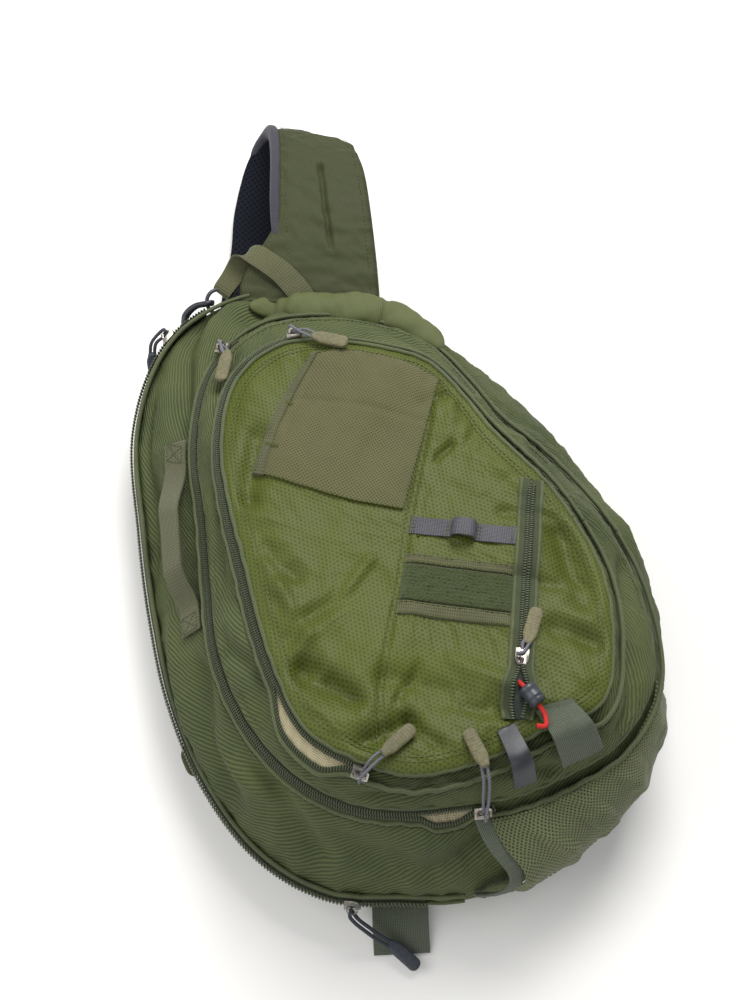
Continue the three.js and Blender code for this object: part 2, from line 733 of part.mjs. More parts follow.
// Bottle pocket of mesh on the lower right wall, open at its lower left end
const bottleFrom = 277.5;
const bottleTo = 330;
const bottleLevels = [0.1, 0.3, 0.5, 0.68, 0.82, 0.9];
function bottlePoint(angle, share, lift) {
  const mouth = (bottleTo - angle) / (bottleTo - bottleFrom);
  const swell = Math.sin(Math.PI * THREE.MathUtils.clamp((share - 0.1) / 0.85, 0, 1));
  const room = bottleRoom * mouth ** 0.8 * swell;
  const base = wallPoint(angle, share, 0);
  const low = outlineShare("bottle", angle) * bodyWidth * (1 - share);
  base.point.addScaledVector(base.normal, bottleSeat + room + low + lift);
  return base;
}
const bottleColumns = range(bottleFrom, bottleTo, 12);
function bottleGrid(lift) {
  return bottleLevels.map((share) => bottleColumns.map((angle) => bottlePoint(angle, share, lift).point));
}
add("bottle_pocket", slab(bottleGrid(bottleWall), bottleGrid(0)), bottleMesh);

// Elastic binding round the pocket's mouth
const bindingRows = bottleLevels.map((share) => {
  const edge = bottlePoint(bottleFrom, share, -0.5);
  const inner = edge.point;
  const along = bottlePoint(bottleFrom - 1, share, -0.5).point.sub(inner).normalize();
  const near = inner.clone().addScaledVector(along, gap + 0.1);
  const far = near.clone().addScaledVector(along, bindingWidth);
  const thick = edge.normal.clone().multiplyScalar(bindingThickness);
  return [near, far, far.clone().add(thick), near.clone().add(thick)];
});
add("pocket_binding", loft(bindingRows), ribbedElastic);

// Shoulder strap: from the top edge of the body out, over in one turn, and back under the body.
// away: share of strapReach past the body. side: share of strapWidth from the strap's root.
// up: share of strapArch. turn: degrees of the cross line. wide: share of strapWidth.
const strapRows = [
  { away: -0.06, side: 0, up: 0.84, turn: -13, wide: 1.06 },
  { away: 0.16, side: 0.04, up: 0.96, turn: -12, wide: 1.03 },
  { away: 0.43, side: 0.07, up: 1.04, turn: -12, wide: 1 },
  { away: 0.68, side: 0.1, up: 0.99, turn: -16, wide: 0.95 },
  { away: 0.87, side: 0.1, up: 0.84, turn: -20, wide: 0.9 },
  { away: 0.97, side: 0.08, up: 0.68, turn: -22, wide: 0.88 },
  { away: 1, side: 0.05, up: 0.5, turn: -24, wide: 0.87 },
  { away: 0.95, side: 0, up: 0.31, turn: -24, wide: 0.88 },
  { away: 0.84, side: -0.07, up: 0.17, turn: -23, wide: 0.9 },
  { away: 0.62, side: -0.23, up: 0.12, turn: -20, wide: 0.94 },
  { away: 0.4, side: -0.4, up: 0.12, turn: -16, wide: 0.97 },
  { away: 0.16, side: -0.57, up: 0.125, turn: -9, wide: 0.97 },
  { away: -0.06, side: -0.65, up: 0.156, turn: -3, wide: 0.95 },
  { away: -0.3, side: -0.64, up: 0.156, turn: 0, wide: 0.82 },
  { away: -0.48, side: -0.62, up: 0.156, turn: 0, wide: 0.66 },
];
const strapRoot = levelPoint({ from: "belly", height: bellyLine }, strapRootAngle);
const strapStations = strapRows.map((row) => {
  const [x, y] = [strapRoot.x + row.side * strapWidth, strapRoot.y + row.away * strapReach];
  const centre = at(x, y, row.up * strapArch);
  const across = at(Math.cos(radians(row.turn)), Math.sin(radians(row.turn)), 0);
  return { centre, across, half: (row.wide * strapWidth) / 2 };
});
const strapPath = new THREE.CatmullRomCurve3(strapStations.map((s) => s.centre));

// Sections of one layer of the strap, from depth low to depth high on its outer side
function strapLayer(fromRow, toRow, count, low, high, trim) {
  const rows = strapStations.length - 1;
  return loft(
    range(fromRow, toRow, count).map((place) => {
      const row = Math.min(Math.floor(place), rows - 1);
      const t = place - row;
      const [a, b] = [strapStations[row], strapStations[row + 1]];
      const centre = strapPath.getPoint(place / rows);
      const across = a.across.clone().lerp(b.across, t).normalize();
      const outward = across.clone().cross(strapPath.getTangent(place / rows)).normalize();
      const half = lerp(a.half, b.half, t) * trim;
      const bevel = (high - low) * 0.4;
      const corner = (s, d) => centre.clone().addScaledVector(across, s).addScaledVector(outward, d);
      return [
        corner(-half, (low + high) / 2),
        corner(-half + bevel, high),
        corner(half - bevel, high),
        corner(half, (low + high) / 2),
        corner(half - bevel, low),
        corner(-half + bevel, low),
      ];
    }),
  );
}

// The main compartment as a filled body, grown by a clearance, to trim what is sewn to it
function filledBody(clearance) {
  const rings = mainLevels.map((level) =>
    columnAngles.map((angle) => levelPoint({ ...level, out: (level.out ?? 0) + clearance }, angle)),
  );
  const foot = at(0, 0, panelTop + gap);
  const crown = at(0, 0, mainHeight);
  const points = [foot, ...rings.flat(), crown];
  const place = (ring, column) => 1 + ring * roundColumns + (column % roundColumns);
  const triangles = [];
  for (let c = 0; c < roundColumns; c++) {
    triangles.push([0, place(0, c + 1), place(0, c)]);
    for (let r = 0; r < rings.length - 1; r++) {
      triangles.push([place(r, c), place(r, c + 1), place(r + 1, c + 1)]);
      triangles.push([place(r, c), place(r + 1, c + 1), place(r + 1, c)]);
    }
    triangles.push([place(rings.length - 1, c), place(rings.length - 1, c + 1), points.length - 1]);
  }
  return closed(points, triangles);
}

const padLow = -strapPad / 4;
const padHigh = padLow + strapPad;
const lastRow = strapStations.length - 1;
const wholeStrap = strapLayer(0, lastRow, 36, padLow, padHigh, 1);
add("shoulder_strap", cut(wholeStrap, filledBody(gap + 0.1)), strapNylon);
const meshHigh = padLow - gap;
add("strap_lining", strapLayer(meshFromRow, meshToRow, 28, meshHigh - strapMesh, meshHigh, 0.97), darkMesh);

// Plain buckle under the body, and the webbing that runs from it to the foot and past it
const strapEnd = strapStations[lastRow].centre;
const buckleTop = strapEnd.y - 2 * gap;
const buckleFoot = buckleTop - buckleLength;
const underPanel = padThickness - gap;
const buckle = new THREE.BoxGeometry(buckleWidth, buckleLength, buckleThickness);
const bucklePlace = [strapEnd.x, (buckleTop + buckleFoot) / 2, underPanel - buckleThickness / 2];
add("strap_buckle", buckle.translate(...bucklePlace), blackPlastic);

const tailRows = [
  { y: buckleFoot - gap, x: strapEnd.x, z: underPanel, turn: 0 },
  { y: 0.1 * bodyLength, x: channelAt(0.1 * bodyLength), z: underPanel, turn: 0 },
  { y: -0.2 * bodyLength, x: channelAt(-0.2 * bodyLength), z: underPanel, turn: 0 },
  { y: channelFoot.y, x: channelFoot.x, z: underPanel, turn: -4 },
  { y: channelFoot.y - 0.3 * tailLength, x: channelFoot.x - 1, z: underPanel * 0.8, turn: -8 },
  { y: channelFoot.y - 0.65 * tailLength, x: channelFoot.x - 2, z: underPanel * 0.4, turn: -12 },
  { y: channelFoot.y - tailLength, x: channelFoot.x - 3, z: webbingThickness + gap, turn: -16 },
];
const tailSections = tailRows.map(({ y, x, z, turn }) => {
  const across = at(Math.cos(radians(turn)), Math.sin(radians(turn)), 0);
  across.multiplyScalar(webbingWidth / 2);
  const [low, high] = [z - webbingThickness, z];
  const [left, right] = [at(x, y, 0).sub(across), at(x, y, 0).add(across)];
  const corners = [[left, low], [right, low], [right, high], [left, high]];
  return corners.map(([point, height]) => point.clone().setZ(height));
});
add("lower_webbing", loft(tailSections), webbing);

// Corner of webbing that pokes out of the back seam on the left
const cornerHalf = (cornerLoopWidth / (bodyLength * 0.5) / 2) * (180 / Math.PI);
const cornerSections = range(cornerAngle - cornerHalf, cornerAngle + cornerHalf, 5).map((angle, i) => {
  const reach = cornerLoopReach * Math.sin((Math.PI * (i + 0.6)) / 5.2);
  const low = padThickness + gap;
  const inner = levelPoint({ from: "belly", out: gap - panelInset, height: () => low }, angle);
  const outer = levelPoint({ from: "belly", out: reach, height: () => low }, angle);
  const top = (point) => point.clone().setZ(panelTop - gap);
  return [inner, outer, top(outer), top(inner)];
});
add("corner_webbing", loft(cornerSections), webbing);

// Stabiliser webbing: sewn over the strap's root, out over its left edge and back down to a ring.
// Places are millimetres from the strap's root; along is the direction across the webbing.
const haulRows = [
  { x: -22, y: 4, z: 63.8, along: -18, wide: 1 },
  { x: -26, y: 11, z: 64.8, along: -8, wide: 1 },
  { x: -32, y: 19, z: 66.1, along: 22, wide: 1 },
  { x: -41, y: 28, z: 67.2, along: 35, wide: 1 },
  { x: -50, y: 36.5, z: 66.2, along: 41, wide: 1 },
  { x: -58, y: 38, z: 62.5, along: 20, wide: 0.9 },
  { x: -63, y: 34, z: 57, along: -12, wide: 0.9 },
  { x: -70, y: 25.5, z: 53, along: -36, wide: 0.9 },
  { x: -78, y: 16.5, z: 48, along: -48, wide: 0.85 },
];
const haulStations = haulRows.map((row) => at(strapRoot.x + row.x, strapRoot.y + row.y, row.z));
const haulPath = new THREE.CatmullRomCurve3(haulStations);
const haulSections = haulRows.map((row, i) => {
  const turn = radians(row.along);
  const across = at(Math.cos(turn), Math.sin(turn), 0);
  const tangent = haulPath.getTangent(i / (haulRows.length - 1));
  across.addScaledVector(tangent, -across.dot(tangent)).normalize();
  const normal = tangent.clone().cross(across).normalize().multiplyScalar(haulThickness / 2);
  const side = across.multiplyScalar((haulWidth * row.wide) / 2);
  const centre = haulStations[i];
  return [
    centre.clone().sub(side).sub(normal),
    centre.clone().add(side).sub(normal),
    centre.clone().add(side).add(normal),
    centre.clone().sub(side).add(normal),
  ];
});
const haulEnd = haulStations[haulStations.length - 1];
const haulDown = haulPath.getTangent(1);

// Ring in the end of that webbing, and the curved clip that hangs on the ring
const ringCentre = haulEnd.clone().addScaledVector(haulDown, ringRadius - 2);
const ringFacing = new THREE.Quaternion().setFromUnitVectors(at(0, 0, 1), at(0.45, -0.5, 0.74).normalize());
function ringSolid(wire) {
  const torus = new THREE.TorusGeometry(ringRadius, wire / 2, 6, 16);
  return torus.applyQuaternion(ringFacing).translate(...ringCentre.toArray());
}
add("haul_webbing", cut(loft(haulSections), ringSolid(ringWire + 2 * threadGap)), webbing);
const clipPoints = [
  ringCentre.clone().add(at(-6.2, 0.8, -1.1)),
  ringCentre.clone().add(at(-4.5, -1.3, 1.9)),
  ringCentre.clone().add(at(-4.8, -3.6, 5.4)),
  ringCentre.clone().add(at(-8, -4.6, 7)),
  ringCentre.clone().add(at(-17, -4, 4)),
  ringCentre.clone().add(at(-25, -8, -1)),
  ringCentre.clone().add(at(-28, -16, -5)),
];
const clip = tube(clipPoints, clipWire, 8, 12);
add("gear_clip", cut(clip, ringSolid(ringWire + 2 * threadGap)), blackPlastic);
add("top_ring", ringSolid(ringWire), greyPlastic);

// Zipper sliders, each with a bail that its pull cord goes through
const bailSpan = 0.72 * sliderLength;
const bailWidth = 0.3 * sliderWidth;
const bailTop = sliderThickness + bailOpening + bailWire;
function sliderSolid() {
  const nose = 0.32 * sliderWidth;
  const half = sliderWidth / 2;
  const outline = [
    at(-sliderLength / 2, -half, 0),
    at(sliderLength * 0.2, -half, 0),
    at(sliderLength / 2, -nose, 0),
    at(sliderLength / 2, nose, 0),
    at(sliderLength * 0.2, half, 0),
    at(-sliderLength / 2, half, 0),
  ];
  const body = plate(outline, sliderThickness);
  const out = bailSpan / 2;
  const inner = out - bailWire;
  const foot = sliderThickness - bailWire / 2;
  const open = sliderThickness + bailOpening;
  const arch = [
    at(-out, foot, 0),
    at(-inner, foot, 0),
    at(-inner, open - bailWire, 0),
    at(-inner + bailWire, open, 0),
    at(inner - bailWire, open, 0),
    at(inner, open - bailWire, 0),
    at(inner, foot, 0),
    at(out, foot, 0),
    at(out, open - bailWire / 2, 0),
    at(inner, bailTop, 0),
    at(-inner, bailTop, 0),
    at(-out, open - bailWire / 2, 0),
  ];
  const bail = plate(arch, bailWidth).translate(0, 0, -bailWidth / 2).rotateX(Math.PI / 2);
  return join(body, bail);
}

// Place on a round zipper: the middle of its outer face at an angle round the body
function onZipper(zip, angle) {
  const place = (a) => {
    const { below, above, normal } = zipperSection(zip.low, zip.high, a);
    return { origin: below.lerp(above, 0.5).addScaledVector(normal, zipperThickness), normal };
  };
  const { origin, normal } = place(angle);
  const along = place(angle + 1).origin.sub(place(angle - 1).origin).normalize();
  return { origin, along, normal };
}

function onPocketZipper(t) {
  const point = (v) => {
    const [x, y] = pocketZipPlace(0.5, v);
    return at(x, y, clothHeight(x, y) + 1 + pocketZipperThickness);
  };
  const along = point(t + 0.05).sub(point(t - 0.05)).normalize();
  return { origin: point(t), along, normal: at(0, 0, 1) };
}

function sliderFrame({ origin, along, normal }, reverse) {
  const x = along.clone().multiplyScalar(reverse ? -1 : 1);
  const z = normal.clone().addScaledVector(x, -normal.dot(x)).normalize();
  const matrix = new THREE.Matrix4().makeBasis(x, z.clone().cross(x), z);
  matrix.setPosition(origin.clone().addScaledVector(z, 2 * gap));
  return matrix;
}

// Pulls: a slider, a cord doubled through its bail, and a moulded tab on the cord's ends.
// A cord's route runs from the tab to the bail, its points chosen by hand in millimetres.
const pulls = [
  {
    name: "main_top",
    frame: sliderFrame(onZipper(mainZip, 134), true),
    route: [[-170, 205, 37], [-167, 213, 46]],
    tabTo: [-170.5, 190, 16],
    heavy: true,
  },
  {
    name: "main_bottom",
    frame: sliderFrame(onZipper(mainZip, 245.4), false),
    route: [[-50, -243, 10.5], [-58, -238, 16], [-67, -231, 26], [-73, -226, 35]],
    tabTo: [-33, -262, 5],
    heavy: true,
  },
  {
    name: "middle_top",
    frame: sliderFrame(onZipper(middleZip, 129.5), true),
    route: [[-112, 168, 96.5], [-113, 177, 89]],
    tabTo: [-120, 143, 99.5],
  },
  {
    name: "middle_bottom",
    frame: sliderFrame(onZipper(middleZip, 276), false),
    route: [[15, -158, 157.5], [15.6, -169, 152.5], [14.8, -178.5, 137]],
    tabTo: [7.5, -133, 154.4],
  },
  {
    name: "front_top",
    frame: sliderFrame(onZipper(frontZip, 115.5), true),
    route: [[-46, 166, 112], [-55, 173, 110]],
    tabTo: [-24, 157, 113],
  },
  {
    name: "front_bottom",
    frame: sliderFrame(onZipper(frontZip, 243), false),
    route: [[-41, -143, 155.6], [-51, -149, 155]],
    tabTo: [-20, -129, 153.9],
  },
  {
    name: "pocket",
    frame: sliderFrame(onPocketZipper(0.76), false),
    route: [[57, -84, 150.4], [53.5, -89, 153]],
    tabTo: [67.5, -62, 147.6],
  },
];

function pullRoute({ frame, route, heavy }) {
  const chosen = route.map((p) => at(...p));
  const side = chosen.map((point, i) => {
    const [a, b] = [chosen[Math.max(0, i - 1)], chosen[Math.min(chosen.length - 1, i + 1)]];
    return b.clone().sub(a).cross(at(0, 0, 1)).normalize().multiplyScalar(pullSpread / 2);
  });
  const nearest = chosen[chosen.length - 1].clone().applyMatrix4(frame.clone().invert());
  const from = Math.sign(nearest.y);
  const cord = heavy ? mainPullCord : pullCord;
  const under = at(0, 0, sliderThickness + bailOpening / 2);
  const turn = at(0, -from * (bailWidth / 2 + cord), sliderThickness + bailOpening + bailWire / 2);
  const over = at(0, 0, bailTop + cord / 2 + threadGap);
  const through = [under, turn, over].map((p) => p.applyMatrix4(frame));
  return [
    ...chosen.map((p, i) => p.clone().add(side[i])),
    ...through,
    ...chosen.map((p, i) => p.clone().sub(side[i])).reverse(),
  ];
}

function tabSolid(start, end, thickness) {
  const along = end.clone().sub(start).normalize();
  const length = tabLength;
  const r = tabWidth / 2;
  const outline = [
    ...range(-90, 90, 5).map((a) => {
      return at(length / 2 - r + r * Math.cos(radians(a)), r * Math.sin(radians(a)), 0);
    }),
    at(-length / 2 + 0.3 * length, r, 0),
    at(-length / 2, 0.62 * r, 0),
    at(-length / 2, -0.62 * r, 0),
    at(-length / 2 + 0.3 * length, -r, 0),
  ];
  const flat = at(0, 0, 1).addScaledVector(along, -along.z).normalize();
  const matrix = new THREE.Matrix4().makeBasis(along, flat.clone().cross(along), flat);
  const middle = start.clone().addScaledVector(along, length / 2 - tabGrip);
  matrix.setPosition(middle.addScaledVector(flat, -thickness / 2));
  return plate(outline, thickness).applyMatrix4(matrix);
}

for (const pull of pulls) {
  const cord = pull.heavy ? mainPullCord : pullCord;
  const points = pullRoute(pull);
  const clear = tube(points, cord + 2 * threadGap, 8, pullSteps);
  const slider = geometryOf(solidOf(sliderSolid().applyMatrix4(pull.frame)).subtract(solidOf(clear)));
  const tab = tabSolid(at(...pull.route[0]), at(...pull.tabTo), tabThickness);
  add("slider_" + pull.name, slider, satinNickel);
  add("pull_cord_" + pull.name, tube(points, cord, 8, pullSteps), pull.heavy ? blackCord : greyCord);
  add("pull_tab_" + pull.name, cut(tab, clear), pull.heavy ? blackRubber : tanRubber);
}

// Red bungee with its cord lock, its points chosen by hand in millimetres
const bungeePoints = [
  [45, -111, 151.8],
  [48.5, -117, 156.6],
  [51.5, -122.5, 158.2],
  [54.5, -128.5, 157.4],
  [57.5, -135.5, 155.2],
  [56.5, -142, 156.6],
  [51, -142, 158.5],
];
const bungee = bungeePoints.map((p) => at(...p));
add("red_bungee", tube(bungee, bungeeCord, 8, pullSteps), redCord);
const lockAxis = bungee[3].clone().sub(bungee[1]).normalize();
const lockProfile = [
  [0, -lockLength / 2],
  [0.8 * lockRadius, -lockLength / 2],
  [lockRadius, -0.36 * lockLength],
  [lockRadius, 0.3 * lockLength],
  [0.72 * lockRadius, 0.36 * lockLength],
  [0.72 * lockRadius, lockLength / 2],
  [0, lockLength / 2],
];
const lockTurn = new THREE.Quaternion().setFromUnitVectors(at(0, 1, 0), lockAxis);
const lockBody = new THREE.LatheGeometry(lockProfile.map(([r, y]) => new THREE.Vector2(r, y)), 10)
  .applyQuaternion(lockTurn)
  .translate(...bungee[2].toArray());
add("cord_lock", cut(lockBody, tube(bungee, bungeeCord + 2 * threadGap, 8, pullSteps)), greyPlastic);

export default bag;
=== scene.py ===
import bmesh
import bpy
import numpy as np
from bpy.props import FloatProperty, FloatVectorProperty
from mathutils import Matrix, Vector


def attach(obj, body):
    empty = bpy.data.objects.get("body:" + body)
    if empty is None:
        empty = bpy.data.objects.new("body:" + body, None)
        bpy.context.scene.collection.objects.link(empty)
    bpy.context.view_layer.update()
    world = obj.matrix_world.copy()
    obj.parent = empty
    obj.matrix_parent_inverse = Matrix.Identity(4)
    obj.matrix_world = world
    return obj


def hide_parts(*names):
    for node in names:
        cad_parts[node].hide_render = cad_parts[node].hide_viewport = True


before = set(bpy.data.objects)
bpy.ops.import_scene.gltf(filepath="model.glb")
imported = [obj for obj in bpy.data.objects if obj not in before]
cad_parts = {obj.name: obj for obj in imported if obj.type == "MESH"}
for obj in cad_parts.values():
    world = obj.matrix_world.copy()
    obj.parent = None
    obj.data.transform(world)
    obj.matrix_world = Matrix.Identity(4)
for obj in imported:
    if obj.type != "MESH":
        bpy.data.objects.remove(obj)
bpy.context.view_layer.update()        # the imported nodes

bl_info = {
    "name": "Tackle sling bag",
    "version": (1, 0, 0),
    "blender": (4, 5, 0),
    "location": "View3D > Sidebar > Sling bag",
    "description": "Dresses the frame of a fishing tackle sling bag in cloth, zippers and webbing",
    "category": "Object",
}

MM = 0.001

# Camera: it looks down on the front face from below the heel of the bag
CAMERA_AZIMUTH = -8.0
CAMERA_ELEVATION = 68.0
CAMERA_DISTANCE = 1.120
CAMERA_TARGET = (-0.020, 0.062, 0.050)
CAMERA_FOCAL = 1556.0
PICTURE_HEIGHT = 1000.0

# Fixed sizes in millimetres, as in the frame
PANEL_TOP = 15.3
PANEL_INSET = 12.0
GAP = 0.3
ZIPPER_HEIGHT = 8.5
ZIPPER_THICKNESS = 2.2
ZIPPER_LEAN = 0.7 * ZIPPER_HEIGHT
POCKET_TAPE = 13.0
SLIDER_WIDTH = 8.5
SLIDER_THICKNESS = 3.4
BAIL_OPENING = 2.8
BAIL_WIRE = 1.3
PULL_SPREAD = 3.4
THREAD_GAP = 0.4
TAPE_WIDTH = 12.7
WEBBING_THICKNESS = 1.6
SEAM_OFFSET = 5.9        # rolled seam, from the middle of a zipper
STITCH_OFFSET = 9.2      # stitching beyond that seam
BOTTLE_FROM = 277.5
BOTTLE_TO = 330.0
HANDLE_FROM = 150.5
HANDLE_TO = 188.0

# Outlines seen from above, a row for each 15 degrees counter-clockwise from +X.
# Columns: belly, middle zipper, front zipper, bottle pocket past the belly.
OUTLINES = np.array([
    (0.449, 0.368, 0.290, 0.000), (0.410, 0.325, 0.260, 0.000), (0.392, 0.298, 0.239, 0.000),
    (0.385, 0.286, 0.237, 0.000), (0.388, 0.314, 0.261, 0.000), (0.413, 0.360, 0.298, 0.000),
    (0.452, 0.393, 0.320, 0.000), (0.504, 0.433, 0.354, 0.000), (0.569, 0.477, 0.403, 0.000),
    (0.608, 0.486, 0.419, 0.000), (0.596, 0.449, 0.390, 0.000), (0.543, 0.402, 0.347, 0.000),
    (0.518, 0.390, 0.320, 0.000), (0.515, 0.402, 0.318, 0.000), (0.517, 0.407, 0.331, 0.000),
    (0.515, 0.403, 0.351, 0.000), (0.497, 0.390, 0.345, 0.000), (0.467, 0.373, 0.342, 0.000),
    (0.462, 0.364, 0.331, 0.004), (0.463, 0.377, 0.328, 0.018), (0.464, 0.398, 0.338, 0.022),
    (0.474, 0.434, 0.379, 0.024), (0.480, 0.448, 0.360, 0.012), (0.478, 0.413, 0.330, 0.002),
])
COLUMN = {"belly": 0, "middle": 1, "front": 2, "bottle": 3}

# Folds of the cloth seen from above, in millimetres: x0, y0, x1, y1, spread, depth.
# A depth below zero is a ridge.
FACE_FOLDS = np.array([
    (-86, -82, -61, -106, 11, 3.6), (-36, -96, 32, -127, 9, 2.9), (-58, -137, -25, -126, 8, 2.9),
    (92, -10, 99, -58, 11, 3.2), (76, -77, 101, -91, 9, 2.9), (-108, 48, -97, 91, 10, 2.9),
    (47, 96, 72, 67, 11, 2.5), (-30, -104, 20, -119, 4, -1.7), (-84, -48, -57, -38, 7, 1.6),
    (-57, -38, -34, -12, 5, -1.2), (6, -90, 42, -112, 5, -1.3), (22, 58, 33, 66, 3, 1.6),
    (-70, -92, -53, -108, 5, 1.8), (-25, -125, -9, -144, 5, 1.6), (60, 10, 88, 2, 6, 1.4),
    (58, -38, 84, -48, 6, 1.5), (18, 100, 48, 112, 5, 1.4), (-14, -92, -30, -110, 4, 1.4),
    (-100, 8, -84, -18, 7, 1.8), (-96, -22, -80, -60, 6, -1.4), (64, 40, 80, 20, 6, -1.0),
])
# Seam down the middle of the face, and where it puckers
CENTRE_SEAM = np.array([
    (34, 121), (14, 66), (-2.5, 19), (-12, -14), (-25, -54), (-32, -76), (-40, -100), (-44, -136),
])

# Folds of the walls: degrees round the body, share of the wall's height, then the same for
# the other end, spread in degrees, spread as a share, depth in millimetres.
MAIN_FOLDS = np.array([
    (128, 0.20, 146, 0.72, 4.0, 0.10, 5.5), (160, 0.30, 176, 0.42, 5.0, 0.10, 3.0),
    (196, 0.60, 214, 0.30, 4.0, 0.12, 4.5), (222, 0.70, 236, 0.35, 4.0, 0.10, 4.0),
    (240, 0.55, 256, 0.40, 4.0, 0.12, 3.0), (262, 0.35, 280, 0.60, 4.0, 0.10, 3.5),
    (340, 0.30, 356, 0.60, 5.0, 0.10, 4.5), (8, 0.65, 22, 0.30, 4.0, 0.12, 5.0),
    (30, 0.35, 48, 0.65, 4.0, 0.10, 5.0), (56, 0.70, 70, 0.35, 4.0, 0.10, 4.0),
    (20, 0.55, 34, 0.70, 3.0, 0.08, -3.0), (348, 0.62, 4, 0.48, 3.0, 0.08, -2.5),
    (184, 0.35, 200, 0.22, 4.0, 0.10, -2.5), (206, 0.50, 224, 0.58, 3.0, 0.07, -2.0),
    (112, 0.30, 120, 0.60, 2.5, 0.12, 5.0), (123, 0.30, 133, 0.36, 5.0, 0.20, -3.5),
    (150, 0.20, 168, 0.16, 5.0, 0.07, 2.5),
])
SECOND_FOLDS = np.array([
    (132, 0.30, 142, 0.70, 3.0, 0.14, 2.6), (164, 0.65, 178, 0.35, 4.0, 0.14, 2.4),
    (196, 0.30, 206, 0.70, 3.0, 0.14, 2.6), (220, 0.60, 230, 0.30, 3.0, 0.14, 2.4),
    (248, 0.30, 262, 0.65, 4.0, 0.14, 3.0), (284, 0.70, 296, 0.30, 3.0, 0.14, 2.6),
    (318, 0.30, 330, 0.70, 4.0, 0.16, 4.0), (338, 0.70, 350, 0.30, 3.5, 0.14, 4.0),
    (354, 0.30, 8, 0.70, 3.0, 0.14, -3.0), (14, 0.65, 28, 0.30, 4.0, 0.14, 4.0),
    (40, 0.30, 56, 0.70, 4.0, 0.14, 3.5), (68, 0.70, 84, 0.35, 4.0, 0.14, 3.0),
])

# Shoulder strap: away and side as shares of its reach and width, height as a share of its
# arch, turn of the cross line in degrees, width as a share.
STRAP_ROWS = np.array([
    (-0.06, 0.00, 0.84, -13, 1.06), (0.16, 0.04, 0.96, -12, 1.03), (0.43, 0.07, 1.04, -12, 1.00),
    (0.67, 0.10, 0.99, -16, 0.95), (0.84, 0.09, 0.84, -20, 0.90), (0.93, 0.06, 0.68, -22, 0.88),
    (0.96, -0.01, 0.50, -24, 0.87), (0.92, -0.13, 0.31, -24, 0.88), (0.82, -0.25, 0.17, -23, 0.90),
    (0.61, -0.37, 0.12, -20, 0.94), (0.40, -0.43, 0.12, -16, 0.97), (0.16, -0.57, 0.125, -9, 0.97),
    (-0.06, -0.65, 0.156, -3, 0.95), (-0.30, -0.64, 0.156, 0, 0.82), (-0.48, -0.62, 0.156, 0, 0.66),
])

# Stabiliser webbing: x and y past the strap's root, height, turn of the cross line, width share
HAUL_ROWS = np.array([
    (-16, -7, 60.5, -22, 1.00), (-21, 3, 63.4, -18, 1.00),
    (-26, 11, 64.8, -8, 1.00), (-32, 19, 66.1, 22, 1.00),
    (-41, 28, 67.2, 35, 1.00), (-50, 36.5, 66.2, 41, 1.00), (-58, 38, 62.5, 20, 0.90),
    (-63, 34, 57, -12, 0.90), (-70, 25.5, 53, -36, 0.90), (-78, 16.5, 48, -48, 0.85),
])

# Pulls: the cord's points from tab to bail, and where the tab points
PULLS = {
    "main_top": dict(zip="main", turn=134.0, back=True, heavy=True,
                     route=[(-170, 205, 37), (-167, 213, 46)], tab_to=(-170.5, 190, 16)),
    "main_bottom": dict(zip="main", turn=245.4, back=False, heavy=True,
                        route=[(-50, -243, 10.5), (-58, -238, 16), (-67, -231, 26), (-73, -226, 35)],
                        tab_to=(-33, -262, 5)),
    "middle_top": dict(zip="middle", turn=129.5, back=True, heavy=False,
                       route=[(-112, 168, 96.5), (-113, 177, 89)], tab_to=(-120, 143, 99.5)),
    "middle_bottom": dict(zip="middle", turn=276.0, back=False, heavy=False,
                          route=[(15, -158, 157.5), (15.6, -169, 152.5), (14.8, -178.5, 137)],
                          tab_to=(7.5, -133, 154.4)),
    "front_top": dict(zip="front", turn=115.5, back=True, heavy=False,
                      route=[(-46, 166, 112), (-55, 173, 110)], tab_to=(-24, 157, 113)),
    "front_bottom": dict(zip="front", turn=243.0, back=False, heavy=False,
                         route=[(-41, -143, 155.6), (-51, -149, 155)], tab_to=(-20, -129, 153.9)),
    "pocket": dict(zip="pocket", turn=0.76, back=False, heavy=False,
                   route=[(57, -84, 150.4), (53.5, -89, 153)], tab_to=(67.5, -62, 147.6)),
}
BUNGEE_ROUTE = [(45, -111, 151.8), (48.5, -117, 156.6), (51.5, -122.5, 158.2), (54.5, -128.5, 157.4),
                (57.5, -135.5, 155.2), (56.5, -142, 156.6), (51, -142, 158.5)]


def linear(text):
    """A colour written as an sRGB hex value, as linear red, green, blue and alpha."""
    part = [int(text[i:i + 2], 16) / 255 for i in (1, 3, 5)]
    return tuple(v / 12.92 if v <= 0.04045 else ((v + 0.055) / 1.055) ** 2.4 for v in part) + (1.0,)


def length(name, words, default):
    return FloatProperty(name=name, description=words, default=default, unit="LENGTH", precision=4)


def colour(name, words, text):
    return FloatVectorProperty(name=name, description=words, default=linear(text), size=4,
                               subtype="COLOR", min=0.0, max=1.0)


